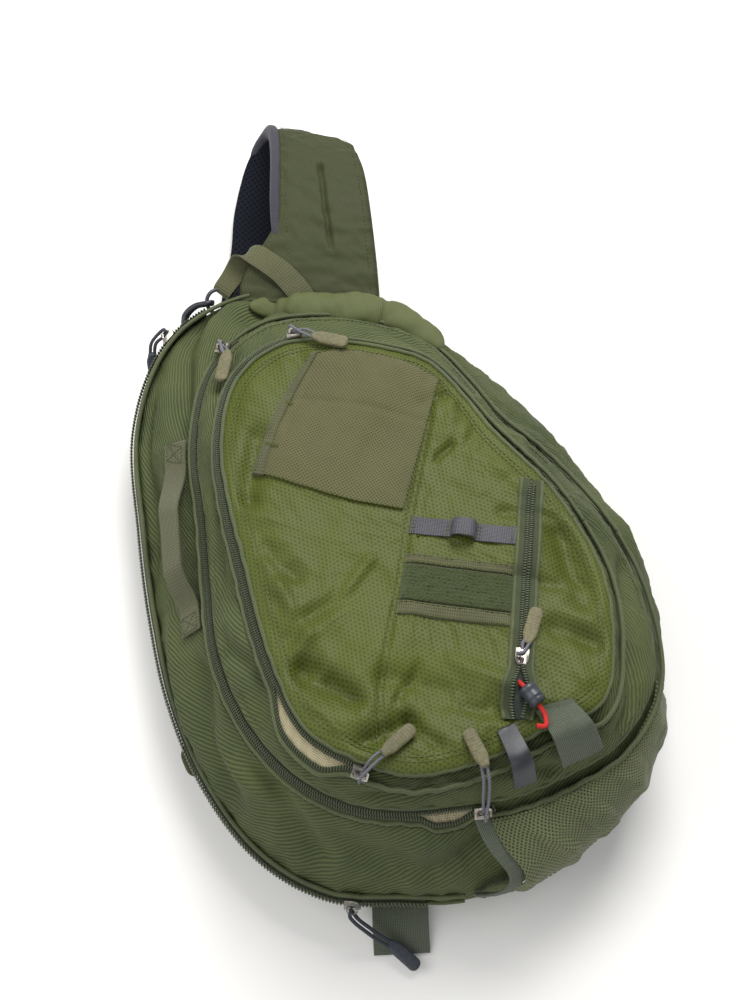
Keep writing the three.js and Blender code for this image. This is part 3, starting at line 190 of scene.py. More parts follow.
class BagSizes(bpy.types.PropertyGroup):
    body_length: length("Body length", "Length that the outlines are shares of", 0.480)
    body_width: length("Body width", "Width that the outlines are shares of", 0.360)
    belly_height: length("Belly height", "Height of the widest line above the floor", 0.034)
    shoulder_lift: length("Shoulder lift", "How much higher that line runs at the shoulder", 0.014)
    main_height: length("Main compartment", "Height of the middle zipper", 0.091)
    second_height: length("Second compartment", "Height of the front zipper", 0.118)
    front_height: length("Front pocket", "Height of the face", 0.131)
    cloth_wall: length("Cloth", "Thickness of the body's nylon", 0.0014)
    coil_width: length("Coil width", "Width of a closed zipper coil", 0.0072)
    tooth_pitch: length("Coil pitch", "Distance from one turn of the coil to the next", 0.0017)
    seam_cord: length("Seam cord", "Thickness of the rolled seam beside a zipper", 0.0032)
    stitch_pitch: length("Stitch", "Distance from one stitch to the next", 0.0034)
    strap_width: length("Strap width", "Width of the shoulder strap", 0.078)
    strap_arch: length("Strap arch", "Height of the strap's turn", 0.062)
    strap_reach: length("Strap reach", "How far the strap stands past the body", 0.160)
    handle_rise: length("Handle rise", "How far the grab handle stands off the wall", 0.013)
    wrinkle: length("Wrinkles", "Depth of the finest wrinkles in the nylon", 0.0011)
    body_taper: FloatProperty(name="Taper", description="Share of the height lost towards the shoulder",
                              default=0.53, subtype="FACTOR")


class BagColours(bpy.types.PropertyGroup):
    body: colour("Body nylon", "Lit threads of the body", "#555d38")
    body_shade: colour("Body shade", "Shaded threads of the body", "#363f27")
    # The rolled cloth is the body's nylon: its lighter colour is painted light on the roll's top.
    roll: colour("Shoulder roll", "Lit threads of the rolled cloth at the shoulder", "#565b3b")
    face: colour("Face nylon", "Lit threads of the face", "#535b1e")
    face_shade: colour("Face shade", "Shaded threads of the face", "#39411a")
    strap: colour("Strap nylon", "Lit threads of the strap", "#3d4226")
    strap_shade: colour("Strap shade", "Shaded threads of the strap", "#31361f")
    # The strap's lining is navy mesh coloured darker with painted shade, because it lies in the strap's
    # shadow; its holes take a still darker painted shade.
    navy_mesh_in_shade: colour("Dark mesh", "Spacer mesh of the strap", "#151923")
    navy_shade: colour("Dark mesh holes", "Holes of that mesh", "#07090d")
    edge_mesh: colour("Lit mesh", "Mesh binding along the strap's edge", "#3e3d47")
    back_mesh: colour("Back mesh", "Spacer mesh of the back", "#3a4031")
    bottle: colour("Bottle mesh", "Knitted mesh of the side pocket", "#656c48")
    bottle_shade: colour("Bottle mesh holes", "Holes of that mesh", "#252c1b")
    net: colour("Net", "Khaki net of the small pocket", "#585734")
    net_shade: colour("Net holes", "What shows through the net", "#3d3d27")
    webbing: colour("Webbing", "Raised yarns of the webbing", "#5a5b3c")
    webbing_shade: colour("Webbing shade", "Sunken yarns of the webbing", "#3c3d26")
    tape: colour("Zipper tape", "Woven tape beside the coil", "#3a402a")
    coil: colour("Coil", "Nylon coil of the zippers", "#464c38")
    grey_tape: colour("Grey tape", "Tape with the raised loop", "#5f5e64")
    pile: colour("Loop pile", "Fuzzy strip on the face", "#3f4a20")
    lining: colour("Lining", "Beige lining inside the zippers", "#bdb193")
    elastic: colour("Elastic", "Ribbed elastic", "#646960")
    band: colour("Glossy band", "Coated band of the tool holder", "#2b2d33")
    nickel: colour("Nickel", "Plated sliders", "#c9c1b2")
    tan: colour("Tan rubber", "Moulded pull tabs", "#7f795c")
    black: colour("Black plastic", "Clip, buckle and heavy pulls", "#1b1f26")
    grey: colour("Grey plastic", "Ring and cord lock", "#444a52")
    grey_cord: colour("Grey cord", "Cord of the pulls", "#7e7c84")
    black_cord: colour("Black cord", "Cord of the heavy pulls", "#1f242e")
    red: colour("Red cord", "Bungee", "#d92b26")
    floor: colour("Floor", "Plain pale floor", "#efeeec")


def mm(name):
    """A size of the bag in millimetres."""
    return getattr(bpy.context.scene.bag_sizes, name) / MM


def tint(name):
    """A colour of the bag, linear."""
    return tuple(getattr(bpy.context.scene.bag_colours, name))


# Materials

def add_node(tree, kind, inputs=None, **settings):
    """Adds a shader node, sets its properties, and sets or links its inputs."""
    made = tree.nodes.new("ShaderNode" + kind)
    for key, value in settings.items():
        setattr(made, key, value)
    for key, value in (inputs or {}).items():
        if isinstance(value, bpy.types.NodeSocket):
            tree.links.new(value, made.inputs[key])
        else:
            made.inputs[key].default_value = value
    return made


def lines(tree, vector, period, degrees):
    """Parallel threads: a sine across a turned coordinate, with the period in millimetres."""
    turned = add_node(tree, "Mapping", {"Vector": vector, "Rotation": (0, 0, np.radians(degrees))})
    wave = add_node(tree, "TexWave", {"Vector": turned.outputs[0], "Scale": 0.31416 / (period * MM)},
                    wave_type="BANDS", bands_direction="X")
    return wave.outputs["Fac"]


def blend(tree, operation, a, b):
    """Two values joined by one arithmetic step."""
    return add_node(tree, "Math", {0: a, 1: b}, operation=operation).outputs[0]


def twill(period, degrees, cross):
    """Diagonal ribs with a finer thread across them."""
    def pattern(tree, vector):
        rib = lines(tree, vector, period, degrees)
        thread = lines(tree, vector, period / 2, degrees + 90)
        return blend(tree, "ADD", blend(tree, "MULTIPLY", rib, 1 - cross),
                     blend(tree, "MULTIPLY", thread, cross))
    return pattern


def honeycomb(period):
    """Three sets of threads at 60 degrees, which leave six-sided cells."""
    def pattern(tree, vector):
        first = lines(tree, vector, period, 0)
        second = lines(tree, vector, period, 60)
        third = lines(tree, vector, period, 120)
        return blend(tree, "MULTIPLY", blend(tree, "ADD", blend(tree, "ADD", first, second), third), 0.36)
    return pattern


def plain_weave(across, along):
    """Yarns one way multiplied by yarns the other way."""
    def pattern(tree, vector):
        weft = lines(tree, vector, across, 0)
        warp = lines(tree, vector, along, 90)
        return blend(tree, "ADD", blend(tree, "MULTIPLY", weft, 0.6), blend(tree, "MULTIPLY", warp, 0.4))
    return pattern


def holes(spacing, edge):
    """Round holes on a lattice: the product of two turned sines, cut at an edge value."""
    def pattern(tree, vector):
        one = lines(tree, vector, spacing * 0.7071, 45)
        two = lines(tree, vector, spacing * 0.7071, -45)
        dot = blend(tree, "MULTIPLY", one, two)
        cut = add_node(tree, "MapRange", {"Value": dot, "From Min": edge, "From Max": edge + 0.28,
                                          "To Min": 1.0, "To Max": 0.0})
        return cut.outputs[0]
    return pattern


def grain(scale):
    """Fuzz: fine noise alone."""
    def pattern(tree, vector):
        return add_node(tree, "TexNoise", {"Vector": vector, "Scale": scale, "Detail": 4.0,
                                           "Roughness": 0.65}).outputs["Fac"]
    return pattern


def finish(name, light, shade, pattern, depth, roughness, sheen=0.0, metallic=0.0, mottle=0.5,
           source="UV", specular=0.4):
    """A finish with a thread or grain pattern, broad mottling, fine fuzz and bump. Its colour runs from the
    shade colour to the light colour with the pattern's height: threads carry painted light on their crests
    and painted shade in their hollows, holes show what lies under them in painted shade, and grain gives
    random tone.
    """
    material = bpy.data.materials.new(name)
    material.use_nodes = True
    tree = material.node_tree
    tree.nodes.clear()
    place = add_node(tree, "TexCoord")
    vector = place.outputs["UV"] if source == "UV" else place.outputs["Object"]
    height = pattern(tree, vector)
    broad = add_node(tree, "TexNoise", {"Vector": place.outputs["Object"], "Scale": 14.0, "Detail": 5.0,
                                        "Roughness": 0.6}).outputs["Fac"]
    fuzz = add_node(tree, "TexNoise", {"Vector": place.outputs["Object"], "Scale": 1100.0,
                                       "Detail": 2.0}).outputs["Fac"]
    spread = add_node(tree, "MapRange", {"Value": broad, "From Min": 0.32, "From Max": 0.68,
                                         "To Min": -0.5 * mottle, "To Max": 0.5 * mottle}).outputs[0]
    lit = blend(tree, "ADD", height, spread)
    speck = blend(tree, "MULTIPLY", blend(tree, "SUBTRACT", fuzz, 0.5), 0.5)
    # Inputs 6 and 7 of a Mix node are its two colours, and output 2 is the mixed colour
    mixed = add_node(tree, "Mix", {0: blend(tree, "ADD", lit, speck), 6: shade, 7: light},
                     data_type="RGBA", clamp_factor=True)
    relief = blend(tree, "ADD", height, blend(tree, "MULTIPLY", fuzz, 0.3))
    bump = add_node(tree, "Bump", {"Height": relief, "Distance": depth * MM, "Strength": 0.9})
    rough = add_node(tree, "MapRange", {"Value": broad, "From Min": 0.3, "From Max": 0.7,
                                        "To Min": roughness - 0.05, "To Max": roughness + 0.05})
    shader = add_node(tree, "BsdfPrincipled", {
        "Base Color": mixed.outputs[2], "Roughness": rough.outputs[0], "Normal": bump.outputs[0],
        "Metallic": metallic, "Sheen Weight": sheen, "Sheen Roughness": 0.5,
        "Specular IOR Level": specular,
    })
    output = add_node(tree, "OutputMaterial")
    tree.links.new(shader.outputs[0], output.inputs[0])
    return material


# Each finish by its common name, made on first use
FINISHES = {
    # PU-backed nylon twill: matt diagonal ribs that catch light on their crests
    "body_nylon": lambda: finish("ribbed nylon twill", tint("body"), tint("body_shade"),
                                 twill(2.3, 62, 0.0), 0.4, 0.7, mottle=0.7, specular=0.25),
    # Ripstop nylon: smooth, a little shiny, with small six-sided cells
    "face_nylon": lambda: finish("honeycomb ripstop nylon", tint("face"), tint("face_shade"),
                                 honeycomb(2.6), 0.3, 0.55, mottle=0.25, specular=0.25),
    # The same twill over foam, a shade browner
    "strap_nylon": lambda: finish("ribbed nylon over foam", tint("strap"), tint("strap_shade"),
                                  twill(1.3, 12, 0.0), 0.15, 0.65, mottle=0.3, specular=0.25),
    # Knitted spacer mesh of the strap's lining: matt, its navy darkened with painted shade because the lining
    # lies in the strap's shadow, with holes in deeper painted shade
    "dark_mesh": lambda: finish("knitted spacer mesh", tint("navy_mesh_in_shade"), tint("navy_shade"),
                                holes(5.0, 0.34), 0.9, 0.9, specular=0.15),
    # The same mesh wrapped round the strap's edge, where light catches it
    "edge_mesh": lambda: finish("fine mesh binding", tint("edge_mesh"), tint("navy_mesh_in_shade"),
                                holes(2.6, 0.34), 0.5, 0.85, sheen=0.1),
    # The twill pulled over the roll, where its ribs lie close, in colours lighter than the body's: painted
    # light on the roll's top, which catches the lamp, shading to the body's lit colour
    "roll_nylon": lambda: finish("nylon twill over a roll", tint("roll"), tint("body"),
                                 twill(1.3, 82, 0.0), 0.2, 0.65, mottle=0.8, specular=0.25),
    # The nylon of a rolled edge: too tight for its ribs to show
    "rolled_nylon": lambda: finish("rolled nylon edge", tint("body"), tint("body_shade"), grain(500), 0.15,
                                   0.7, sheen=0.1),
    "spacer_mesh": lambda: finish("knitted back mesh", tint("back_mesh"), tint("body_shade"),
                                  holes(3.4, 0.32), 0.8, 0.9, sheen=0.3, source="Object"),
    # Stretch mesh: thin yarns round small holes
    "bottle_mesh": lambda: finish("knitted stretch mesh", tint("bottle"), tint("bottle_shade"),
                                  holes(3.2, 0.30), 0.7, 0.85, sheen=0.1),
    # Coarser net with round holes that show the nylon under it
    "khaki_mesh": lambda: finish("round-hole net", tint("net"), tint("net_shade"),
                                 holes(2.7, 0.36), 0.6, 0.85, sheen=0.1),
    # Polyester webbing: yarns across in short ribs
    "webbing": lambda: finish("polyester webbing", tint("webbing"), tint("webbing_shade"),
                              plain_weave(1.5, 2.2), 0.4, 0.8, sheen=0.15),
    "zipper_tape": lambda: finish("woven zipper tape", tint("tape"), tint("body_shade"),
                                  plain_weave(1.3, 1.6), 0.2, 0.8),
    # Nylon monofilament: hard, a little glossy
    "coil": lambda: finish("nylon monofilament coil", tint("coil"), tint("body_shade"),
                           grain(500), 0.05, 0.4, mottle=0.2, specular=0.5),
    "grey_tape": lambda: finish("grey grosgrain tape", tint("grey_tape"), tint("black"),
                                plain_weave(1.0, 1.6), 0.15, 0.7, mottle=0.5),
    # Loop pile: a felt of tiny loops
    "loop_pile": lambda: finish("loop pile", tint("pile"), tint("body_shade"), grain(900), 1.2, 1.0,
                                sheen=0.15),
    "beige_lining": lambda: finish("plain-woven lining", tint("lining"), tint("webbing"),
                                   plain_weave(1.0, 1.0), 0.15, 0.8, mottle=0.2),
    "ribbed_elastic": lambda: finish("ribbed elastic", tint("elastic"), tint("body_shade"),
                                     plain_weave(1.2, 1.0), 0.2, 0.8),
    # Coated band: smooth, with a dull gloss
    "gloss_band": lambda: finish("coated gloss band", tint("band"), tint("black"), grain(60), 0.3, 0.45,
                                 mottle=0.4, specular=0.5),
    # Nickel plate on die-cast zinc, tumbled satin
    "satin_nickel": lambda: finish("satin nickel plate", tint("nickel"), tint("grey"), grain(300), 0.04,
                                   0.3, metallic=1.0, mottle=0.3, source="Object"),
    # Moulded soft PVC: matt, with a faint orange peel
    "tan_rubber": lambda: finish("moulded soft vinyl", tint("tan"), tint("webbing_shade"), grain(500),
                                 0.08, 0.65, mottle=0.3, source="Object"),
    "black_rubber": lambda: finish("dark moulded vinyl", tint("grey"), tint("black"), grain(500), 0.08,
                                   0.5, mottle=0.4, source="Object"),
    # Acetal: dense, waxy gloss
    "black_plastic": lambda: finish("black acetal", tint("black"), tint("black_cord"), grain(400), 0.04,
                                    0.35, mottle=0.3, source="Object", specular=0.5),
    "grey_plastic": lambda: finish("grey acetal", tint("grey"), tint("black"), grain(400), 0.04, 0.4,
                                   mottle=0.3, source="Object", specular=0.5),
    # Braided cord: crossing strands
    "grey_cord": lambda: finish("braided grey cord", tint("grey_cord"), tint("grey"), twill(1.3, 40, 0.5),
                                0.2, 0.8),
    "black_cord": lambda: finish("braided black cord", tint("grey"), tint("black_cord"),
                                 twill(1.5, 40, 0.5), 0.2, 0.75),
    "red_cord": lambda: finish("braided red bungee", tint("red"), linear("#9c1a18"),
                               twill(1.3, 40, 0.5), 0.2, 0.7),
    "thread": lambda: finish("bonded polyester thread", tint("face"), tint("body"), grain(700), 0.05,
                             0.7),
    "dark_thread": lambda: finish("dark bonded thread", tint("body"), tint("body_shade"), grain(700),
                                  0.05, 0.7),
    # The unlit inside of an open pocket
    "pocket_dark": lambda: finish("shaded lining", tint("body_shade"), tint("black_cord"), grain(300),
                                  0.1, 0.95),
}
MADE = {}


def material(name):
    """A finish by its name, made once."""
    if name not in MADE:
        MADE[name] = FINISHES[name]()
    return MADE[name]


# Shapes as whole arrays

def ease(x, low, high):
    """A smooth step from 0 at low to 1 at high: 3t^2 - 2t^3."""
    t = np.clip((np.asarray(x, float) - low) / (high - low), 0, 1)
    return t * t * (3 - 2 * t)


def bell(x):
    """exp(-x^2), one at zero."""
    return np.exp(-np.square(x))


def spline(rows, places):
    """Catmull-Rom curve through rows of any shape, at places counted in rows."""
    rows = np.asarray(rows, float)
    last = len(rows) - 1
    places = np.asarray(places, float)
    k = np.clip(np.floor(places).astype(int), 0, last - 1)
    t = (places - k).reshape((-1,) + (1,) * (rows.ndim - 1))
    a, b, c, d = (rows[np.clip(k + step, 0, last)] for step in (-1, 0, 1, 2))
    return b + 0.5 * t * (c - a + t * (2 * a - 5 * b + 4 * c - d + t * (3 * (b - c) + d - a)))


def resample(rows, count):
    """The same curve at a new count of even places."""
    return spline(rows, np.linspace(0, len(rows) - 1, count))


def unit(vectors):
    """Vectors divided by their lengths."""
    return vectors / np.maximum(np.linalg.norm(vectors, axis=-1, keepdims=True), 1e-9)


def outline_share(column, degrees):
    """Share of a named outline at an angle: a closed Catmull-Rom curve through the table."""
    table = OUTLINES[:, COLUMN[column]]
    place = (np.asarray(degrees, float) / 360.0 % 1.0) * len(table)
    row = np.floor(place).astype(int)
    t = place - row
    a, b, c, d = (table[(row + step) % len(table)] for step in (-1, 0, 1, 2))
    return b + 0.5 * t * (c - a + t * (2 * a - 5 * b + 4 * c - d + t * (3 * (b - c) + d - a)))


def tier(height):
    """Height that falls evenly towards the shoulder."""
    return lambda y: height * (1 - bpy.context.scene.bag_sizes.body_taper * y / mm("body_length"))


def belly_line(y):
    """Height of the widest line: level, then a smooth step up towards the shoulder."""
    return mm("belly_height") + mm("shoulder_lift") * ease(y / mm("body_length"), 0.2, 0.46)


def between(low, high, share):
    """A height that is a share of the way from one height to another."""
    return lambda y: low(y) + (high(y) - low(y)) * share


def ring(degrees, height, start, end=None, mix=0.0, out=0.0, scale=1.0):
    """A line round the body: a mix of two outlines, pushed out, at a height."""
    a = np.radians(degrees)
    low = outline_share(start, degrees)
    share = (low + (outline_share(end or start, degrees) - low) * mix) * scale
    x = mm("body_width") * share * np.cos(a)
    y = mm("body_length") * share * np.sin(a)
    k = 1 + out / np.hypot(x, y)
    return np.stack([x * k, y * k, height(y * k) + np.zeros_like(x)], -1)


def line_distance(x, y, line):
    """Distance to a broken line and the share of it reached, for whole arrays of places."""
    nearest = np.full(np.shape(x), 1e9)
    reached = np.zeros(np.shape(x))
    for i, ((x0, y0), (x1, y1)) in enumerate(zip(line[:-1], line[1:])):
        dx, dy = x1 - x0, y1 - y0
        t = np.clip(((x - x0) * dx + (y - y0) * dy) / (dx * dx + dy * dy), 0, 1)
        away = np.hypot(x - x0 - t * dx, y - y0 - t * dy)
        reached = np.where(away < nearest, (i + t) / (len(line) - 1), reached)
        nearest = np.minimum(nearest, away)
    return nearest, reached


def ripples(points, seed, longest, count=20):
    """Sum of sine waves with random directions and lengths, about -1 to 1."""
    rng = np.random.default_rng(seed)
    total = np.zeros(points.shape[:-1])
    for _ in range(count):
        direction = unit(rng.normal(size=points.shape[-1]))
        span = longest * rng.uniform(0.35, 1.0)
        total += np.sin(points @ direction * 2 * np.pi / span + rng.uniform(0, 2 * np.pi))
    return total / np.sqrt(count / 2) / 1.6


def creases(points, seed, longest, width=0.32):
    """Thin soft ridges along the zero lines of two ripple fields."""
    one = bell(ripples(points, seed, longest) / width)
    two = bell(ripples(points, seed + 1, longest * 0.6) / width)
    return 0.6 * one + 0.4 * two - 0.45


def round_noise(degrees, seed, low, high):
    """Noise along a closed line: whole-number waves with random phases."""
    rng = np.random.default_rng(seed)
    waves = np.arange(low, high)
    phase = rng.uniform(0, 2 * np.pi, len(waves))
    turns = np.radians(np.asarray(degrees)[..., None] * waves)
    return np.sin(turns + phase).sum(-1) / np.sqrt(len(waves) / 2)


def grid_normals(points, wrap=False):
    """Unit normals of a grid, from the cross product of its two differences."""
    if wrap:
        across = np.roll(points, -1, 1) - np.roll(points, 1, 1)
        across[:, 0] = points[:, 1] - points[:, -2]
        across[:, -1] = across[:, 0]
    else:
        across = np.gradient(points, axis=1)
    along = np.gradient(points, axis=0)
    return unit(np.cross(across, along))


def grid_uv(points):
    """Metres across and along a grid: sums of its mean edge lengths, so that threads run straight."""
    across = np.linalg.norm(np.diff(points, axis=1), axis=-1).mean(0)
    along = np.linalg.norm(np.diff(points, axis=0), axis=-1).mean(1)
    u = np.concatenate([[0], np.cumsum(across)])
    v = np.concatenate([[0], np.cumsum(along)])
    return np.stack(np.broadcast_arrays(u[None, :], v[:, None]), -1) * MM


def grid(points, uv=None):
    """One surface: its points, quads and UV. Columns or rows that coincide are merged later."""
    rows, columns = points.shape[:2]
    index = np.arange(rows * columns).reshape(rows, columns)
    quads = np.stack([index[:-1, :-1], index[:-1, 1:], index[1:, 1:], index[1:, :-1]], -1).reshape(-1, 4)
    uv = grid_uv(points) if uv is None else uv
    return points.reshape(-1, 3), quads, uv.reshape(-1, 2)


def flat_profile(width, thickness, square=5.0, count=28):
    """A rounded strip's section: a superellipse, as points across and up."""
    a = np.linspace(0, 2 * np.pi, count + 1)
    c, s = np.cos(a), np.sin(a)
    x = width / 2 * np.sign(c) * np.abs(c) ** (2 / square)
    y = thickness / 2 * np.sign(s) * np.abs(s) ** (2 / square)
    return np.stack([x, y], -1)


def round_profile(diameter, sides=10):
    """A circle as a section."""
    return flat_profile(diameter, diameter, 2.0, sides)


def sweep(path, across, profile, upward=None, cap=True):
    """A section carried along a path: point = path + x * across + y * upward, with closed ends."""
    path = np.asarray(path, float)
    tangent = unit(np.gradient(path, axis=0))
    across = np.broadcast_to(np.asarray(across, float), path.shape)
    across = unit(across - tangent * (across * tangent).sum(-1, keepdims=True))
    upward = np.cross(tangent, across) if upward is None else upward
    profile = np.broadcast_to(profile, (len(path),) + profile.shape[-2:])
    points = (path[:, None] + profile[..., :1] * across[:, None] + profile[..., 1:] * upward[:, None])
    uv = grid_uv(points)
    if cap:
        ends = [np.repeat(points[k].mean(0)[None, None], points.shape[1], 1) for k in (0, -1)]
        points = np.concatenate([ends[0], points, ends[1]])
        uv = np.concatenate([uv[:1], uv, uv[-1:]])
    return grid(points, uv)


def round_path(path, diameter, sides=10):
    """A cord: a circle carried along a path, turned as little as possible on the way."""
    path = np.asarray(path, float)
    tangent = unit(np.gradient(path, axis=0))
    start = np.cross(tangent[0], (0.3, 0.5, 0.81))
    frames = [unit(start)]
    for direction in tangent[1:]:
        frames.append(unit(frames[-1] - direction * frames[-1].dot(direction)))
    return sweep(path, np.array(frames), round_profile(diameter, sides))


def copies(template, quads, origins, x, y, z):
    """One small shape set at many places: origin + each template point in its own three axes."""
    points = (origins[:, None] + template[None, :, :1] * x[:, None] + template[None, :, 1:2] * y[:, None]
              + template[None, :, 2:] * z[:, None])
    count = len(template)
    shift = (np.arange(len(origins)) * count)[:, None, None]
    faces = (quads[None] + shift).reshape(-1, 4)
    uv = np.broadcast_to(template[None, :, :2] * MM, (len(origins), count, 2))
    return points.reshape(-1, 3), faces, uv.reshape(-1, 2)


def bead(length_x, length_y, length_z, rings=4, sides=6):
    """A closed bean: a superellipsoid as a grid, longest along x."""
    a = np.linspace(-np.pi / 2, np.pi / 2, rings + 1)[:, None]
    b = np.linspace(0, 2 * np.pi, sides + 1)[None]
    x = length_x / 2 * np.sign(np.sin(a)) * np.abs(np.sin(a)) ** 0.6 + 0 * b
    y = length_y / 2 * np.cos(a) * np.cos(b)
    z = length_z / 2 * np.cos(a) * np.sin(b)
    points, quads, _ = grid(np.stack([x, y, z], -1))
    return points, quads


def stitches(path, up, pitch=None, thread=0.6):
    """Stitches along a path: beans laid end to end with a small gap, half sunk in the cloth."""
    path = np.asarray(path, float)
    pitch = pitch or mm("stitch_pitch")
    steps = np.linalg.norm(np.diff(path, axis=0), axis=1)
    travel = np.concatenate([[0], np.cumsum(steps)])
    count = max(int(travel[-1] / pitch), 2)
    at = (np.arange(count) + 0.5) / count * travel[-1]
    where = np.stack([np.interp(at, travel, path[:, k]) for k in range(3)], -1)
    ahead = np.stack([np.interp(np.minimum(at + 0.5, travel[-1]), travel, path[:, k]) for k in range(3)], -1)
    behind = np.stack([np.interp(np.maximum(at - 0.5, 0), travel, path[:, k]) for k in range(3)], -1)
    along = unit(ahead - behind)
    up = np.broadcast_to(np.asarray(up, float), path.shape)
    lift = unit(np.stack([np.interp(at, travel, up[:, k]) for k in range(3)], -1))
    side = unit(np.cross(lift, along))
    template, quads = bead(pitch * 0.78, thread, thread, 3, 5)
    return copies(template, quads, where + lift * thread * 0.2, along, side, np.cross(along, side))


INSIDE = np.array([0.0, 0.0, 40.0])


def make_piece(name, surfaces, finish_name, replaces=(), solid=0.0, closed=True, inside=INSIDE,
               merge=1e-5):
    """One object from surfaces in millimetres: merged, turned outwards, and set riding.
    solid: wall in millimetres grown inwards from an open sheet. closed: the surfaces have no edge."""
    offsets = np.cumsum([0] + [len(points) for points, _, _ in surfaces])
    points = np.concatenate([surface[0] for surface in surfaces]) * MM
    quads = np.concatenate([surface[1] + offset for surface, offset in zip(surfaces, offsets)])
    uv = np.concatenate([surface[2] for surface in surfaces])
    mesh = bpy.data.meshes.new(name)
    mesh.vertices.add(len(points))
    mesh.vertices.foreach_set("co", points.astype(np.float32).ravel())
    mesh.loops.add(quads.size)
    mesh.loops.foreach_set("vertex_index", quads.astype(np.int32).ravel())
    mesh.polygons.add(len(quads))
    mesh.polygons.foreach_set("loop_start", np.arange(0, quads.size, 4, dtype=np.int32))
    mesh.update(calc_edges=True)
    layer = mesh.uv_layers.new(name="cloth")
    layer.data.foreach_set("uv", uv[quads.ravel()].astype(np.float32).ravel())
    edit = bmesh.new()
    edit.from_mesh(mesh)
    bmesh.ops.remove_doubles(edit, verts=edit.verts, dist=merge)
    bmesh.ops.dissolve_degenerate(edit, edges=edit.edges, dist=1e-7)
    if closed:
        bmesh.ops.recalc_face_normals(edit, faces=edit.faces)
    else:
        centre = Vector(np.asarray(inside) * MM)
        facing = sum(face.normal.dot(face.calc_center_median() - centre) * face.calc_area()
                     for face in edit.faces)
        if facing < 0:
            bmesh.ops.reverse_faces(edit, faces=edit.faces)
    edit.to_mesh(mesh)
    edit.free()
    mesh.shade_smooth()
    mesh.materials.append(material(finish_name))
    piece = bpy.data.objects.new(name, mesh)
    bpy.context.scene.collection.objects.link(piece)
    if solid:
        wall = piece.modifiers.new("wall", "SOLIDIFY")
        wall.thickness = solid * MM
        wall.offset = -1.0
    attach(piece, "root")
    if replaces:
        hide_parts(*replaces)
    return piece


def node_copy(node, name, finish_name, flats=False):
    """A frame node as a piece of its own: its triangles merged, and its flats dissolved if asked."""
    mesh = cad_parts[node].data.copy()
    edit = bmesh.new()
    edit.from_mesh(mesh)
    bmesh.ops.remove_doubles(edit, verts=edit.verts, dist=2e-5)
    if flats:
        bmesh.ops.dissolve_limit(edit, angle_limit=np.radians(3), verts=edit.verts, edges=edit.edges)
    edit.to_mesh(mesh)
    edit.free()
    mesh.materials.clear()
    mesh.materials.append(material(finish_name))
    piece = bpy.data.objects.new(name, mesh)
    bpy.context.scene.collection.objects.link(piece)
    return piece


def refined(node, finish_name, bevel, segments):
    """A moulded piece from its frame node, with its edges rounded."""
    piece = node_copy(node, "dressed_" + node, finish_name, flats=True)
    piece.data.shade_smooth()
    edges = piece.modifiers.new("edges", "BEVEL")
    edges.width = bevel * MM
    edges.segments = segments
    edges.limit_method = "ANGLE"
    edges.angle_limit = np.radians(28)
    edges.harden_normals = True
    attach(piece, "root")
    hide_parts(node)


# Body

FORMS = {}


def wall_relief(degrees, share, folds, points, seed):
    """Inward depth of a wall: its folds, puckers at both seams, and fine creases."""
    depth = np.zeros(share.shape)
    calm = 1 - 0.6 * bell(((degrees - 30 + 180) % 360 - 180) / 58)
    for a0, s0, a1, s1, turn, rise, deep in folds:
        da = (degrees - a0 + 180) % 360 - 180
        span = (a1 - a0 + 180) % 360 - 180
        u, v = da / turn, (share - s0) / rise
        du, dv = span / turn, (s1 - s0) / rise
        t = np.clip((u * du + v * dv) / (du * du + dv * dv), 0, 1)
        depth += 2.1 * deep * np.exp(-np.square(u - t * du) - np.square(v - t * dv))
    seam = np.exp(-np.maximum(share, 0) / 0.16) + np.exp(-np.maximum(1 - share, 0) / 0.16)
    depth += 0.55 * seam * round_noise(degrees, seed, 34, 60)
    depth += 1.7 * np.sin(np.pi * np.clip(share, 0, 1)) * round_noise(degrees, seed + 3, 5, 16)
    depth *= calm
    depth -= mm("wrinkle") * (1.2 * creases(points, seed, 62.0) + 0.6 * creases(points, seed + 5, 26.0))
    return depth


def wall_form(levels, columns, rows, lower, upper, folds, seed):
    """A tier's wall: splines through its levels at every angle, sunk along the normal by its relief.
    The relief fades out below level lower and above level upper."""
    degrees = np.linspace(0, 360, columns + 1)
    sections = np.array([ring(degrees, **level) for level in levels])
    places = np.linspace(0, len(levels) - 1, rows)
    points = spline(sections, places)
    share = ((places - lower) / (upper - lower))[:, None] + 0 * degrees
    fade = ease(share, -0.25, 0.05) * (1 - ease(share, 0.97, 1.25))
    normal = grid_normals(points, wrap=True)
    relief = wall_relief(degrees[None] + 0 * share, share, folds, points, seed) * fade
    moved = points - normal * relief[..., None] * np.sign((normal * (points - INSIDE)).sum())
    moved[:, -1] = moved[:, 0]
    return moved


def face_relief(x, y, points):
    """Depth of the face: its folds, a groove along the centre seam, and creases that grow downwards."""
    depth = np.zeros(np.shape(x))
    for x0, y0, x1, y1, spread, deep in FACE_FOLDS:
        away, _ = line_distance(x, y, [(x0, y0), (x1, y1)])
        depth += 2.7 * deep * bell(away / (0.85 * spread))
    away, reached = line_distance(x, y, CENTRE_SEAM)
    depth += 1.6 * bell(away / 2.2)
    pucker = np.sin(reached * 130 + 2.0 * np.sin(reached * 41)) * np.exp(-away / 9)
    depth += 0.7 * pucker * ease(reached, 0.3, 0.95)
    low = ease(-y, -120, 150)
    flat = points[..., :2]
    slant = flat @ np.array([[0.86, 0.28], [0.5, -0.5]])
    depth -= (1.3 + 1.3 * low) * mm("wrinkle") * creases(slant, 71, 84.0, 0.42)
    depth -= (0.5 + 0.5 * low) * mm("wrinkle") * creases(slant, 77, 30.0)
    depth -= 1.8 * ripples(flat, 79, 120.0)
    return depth


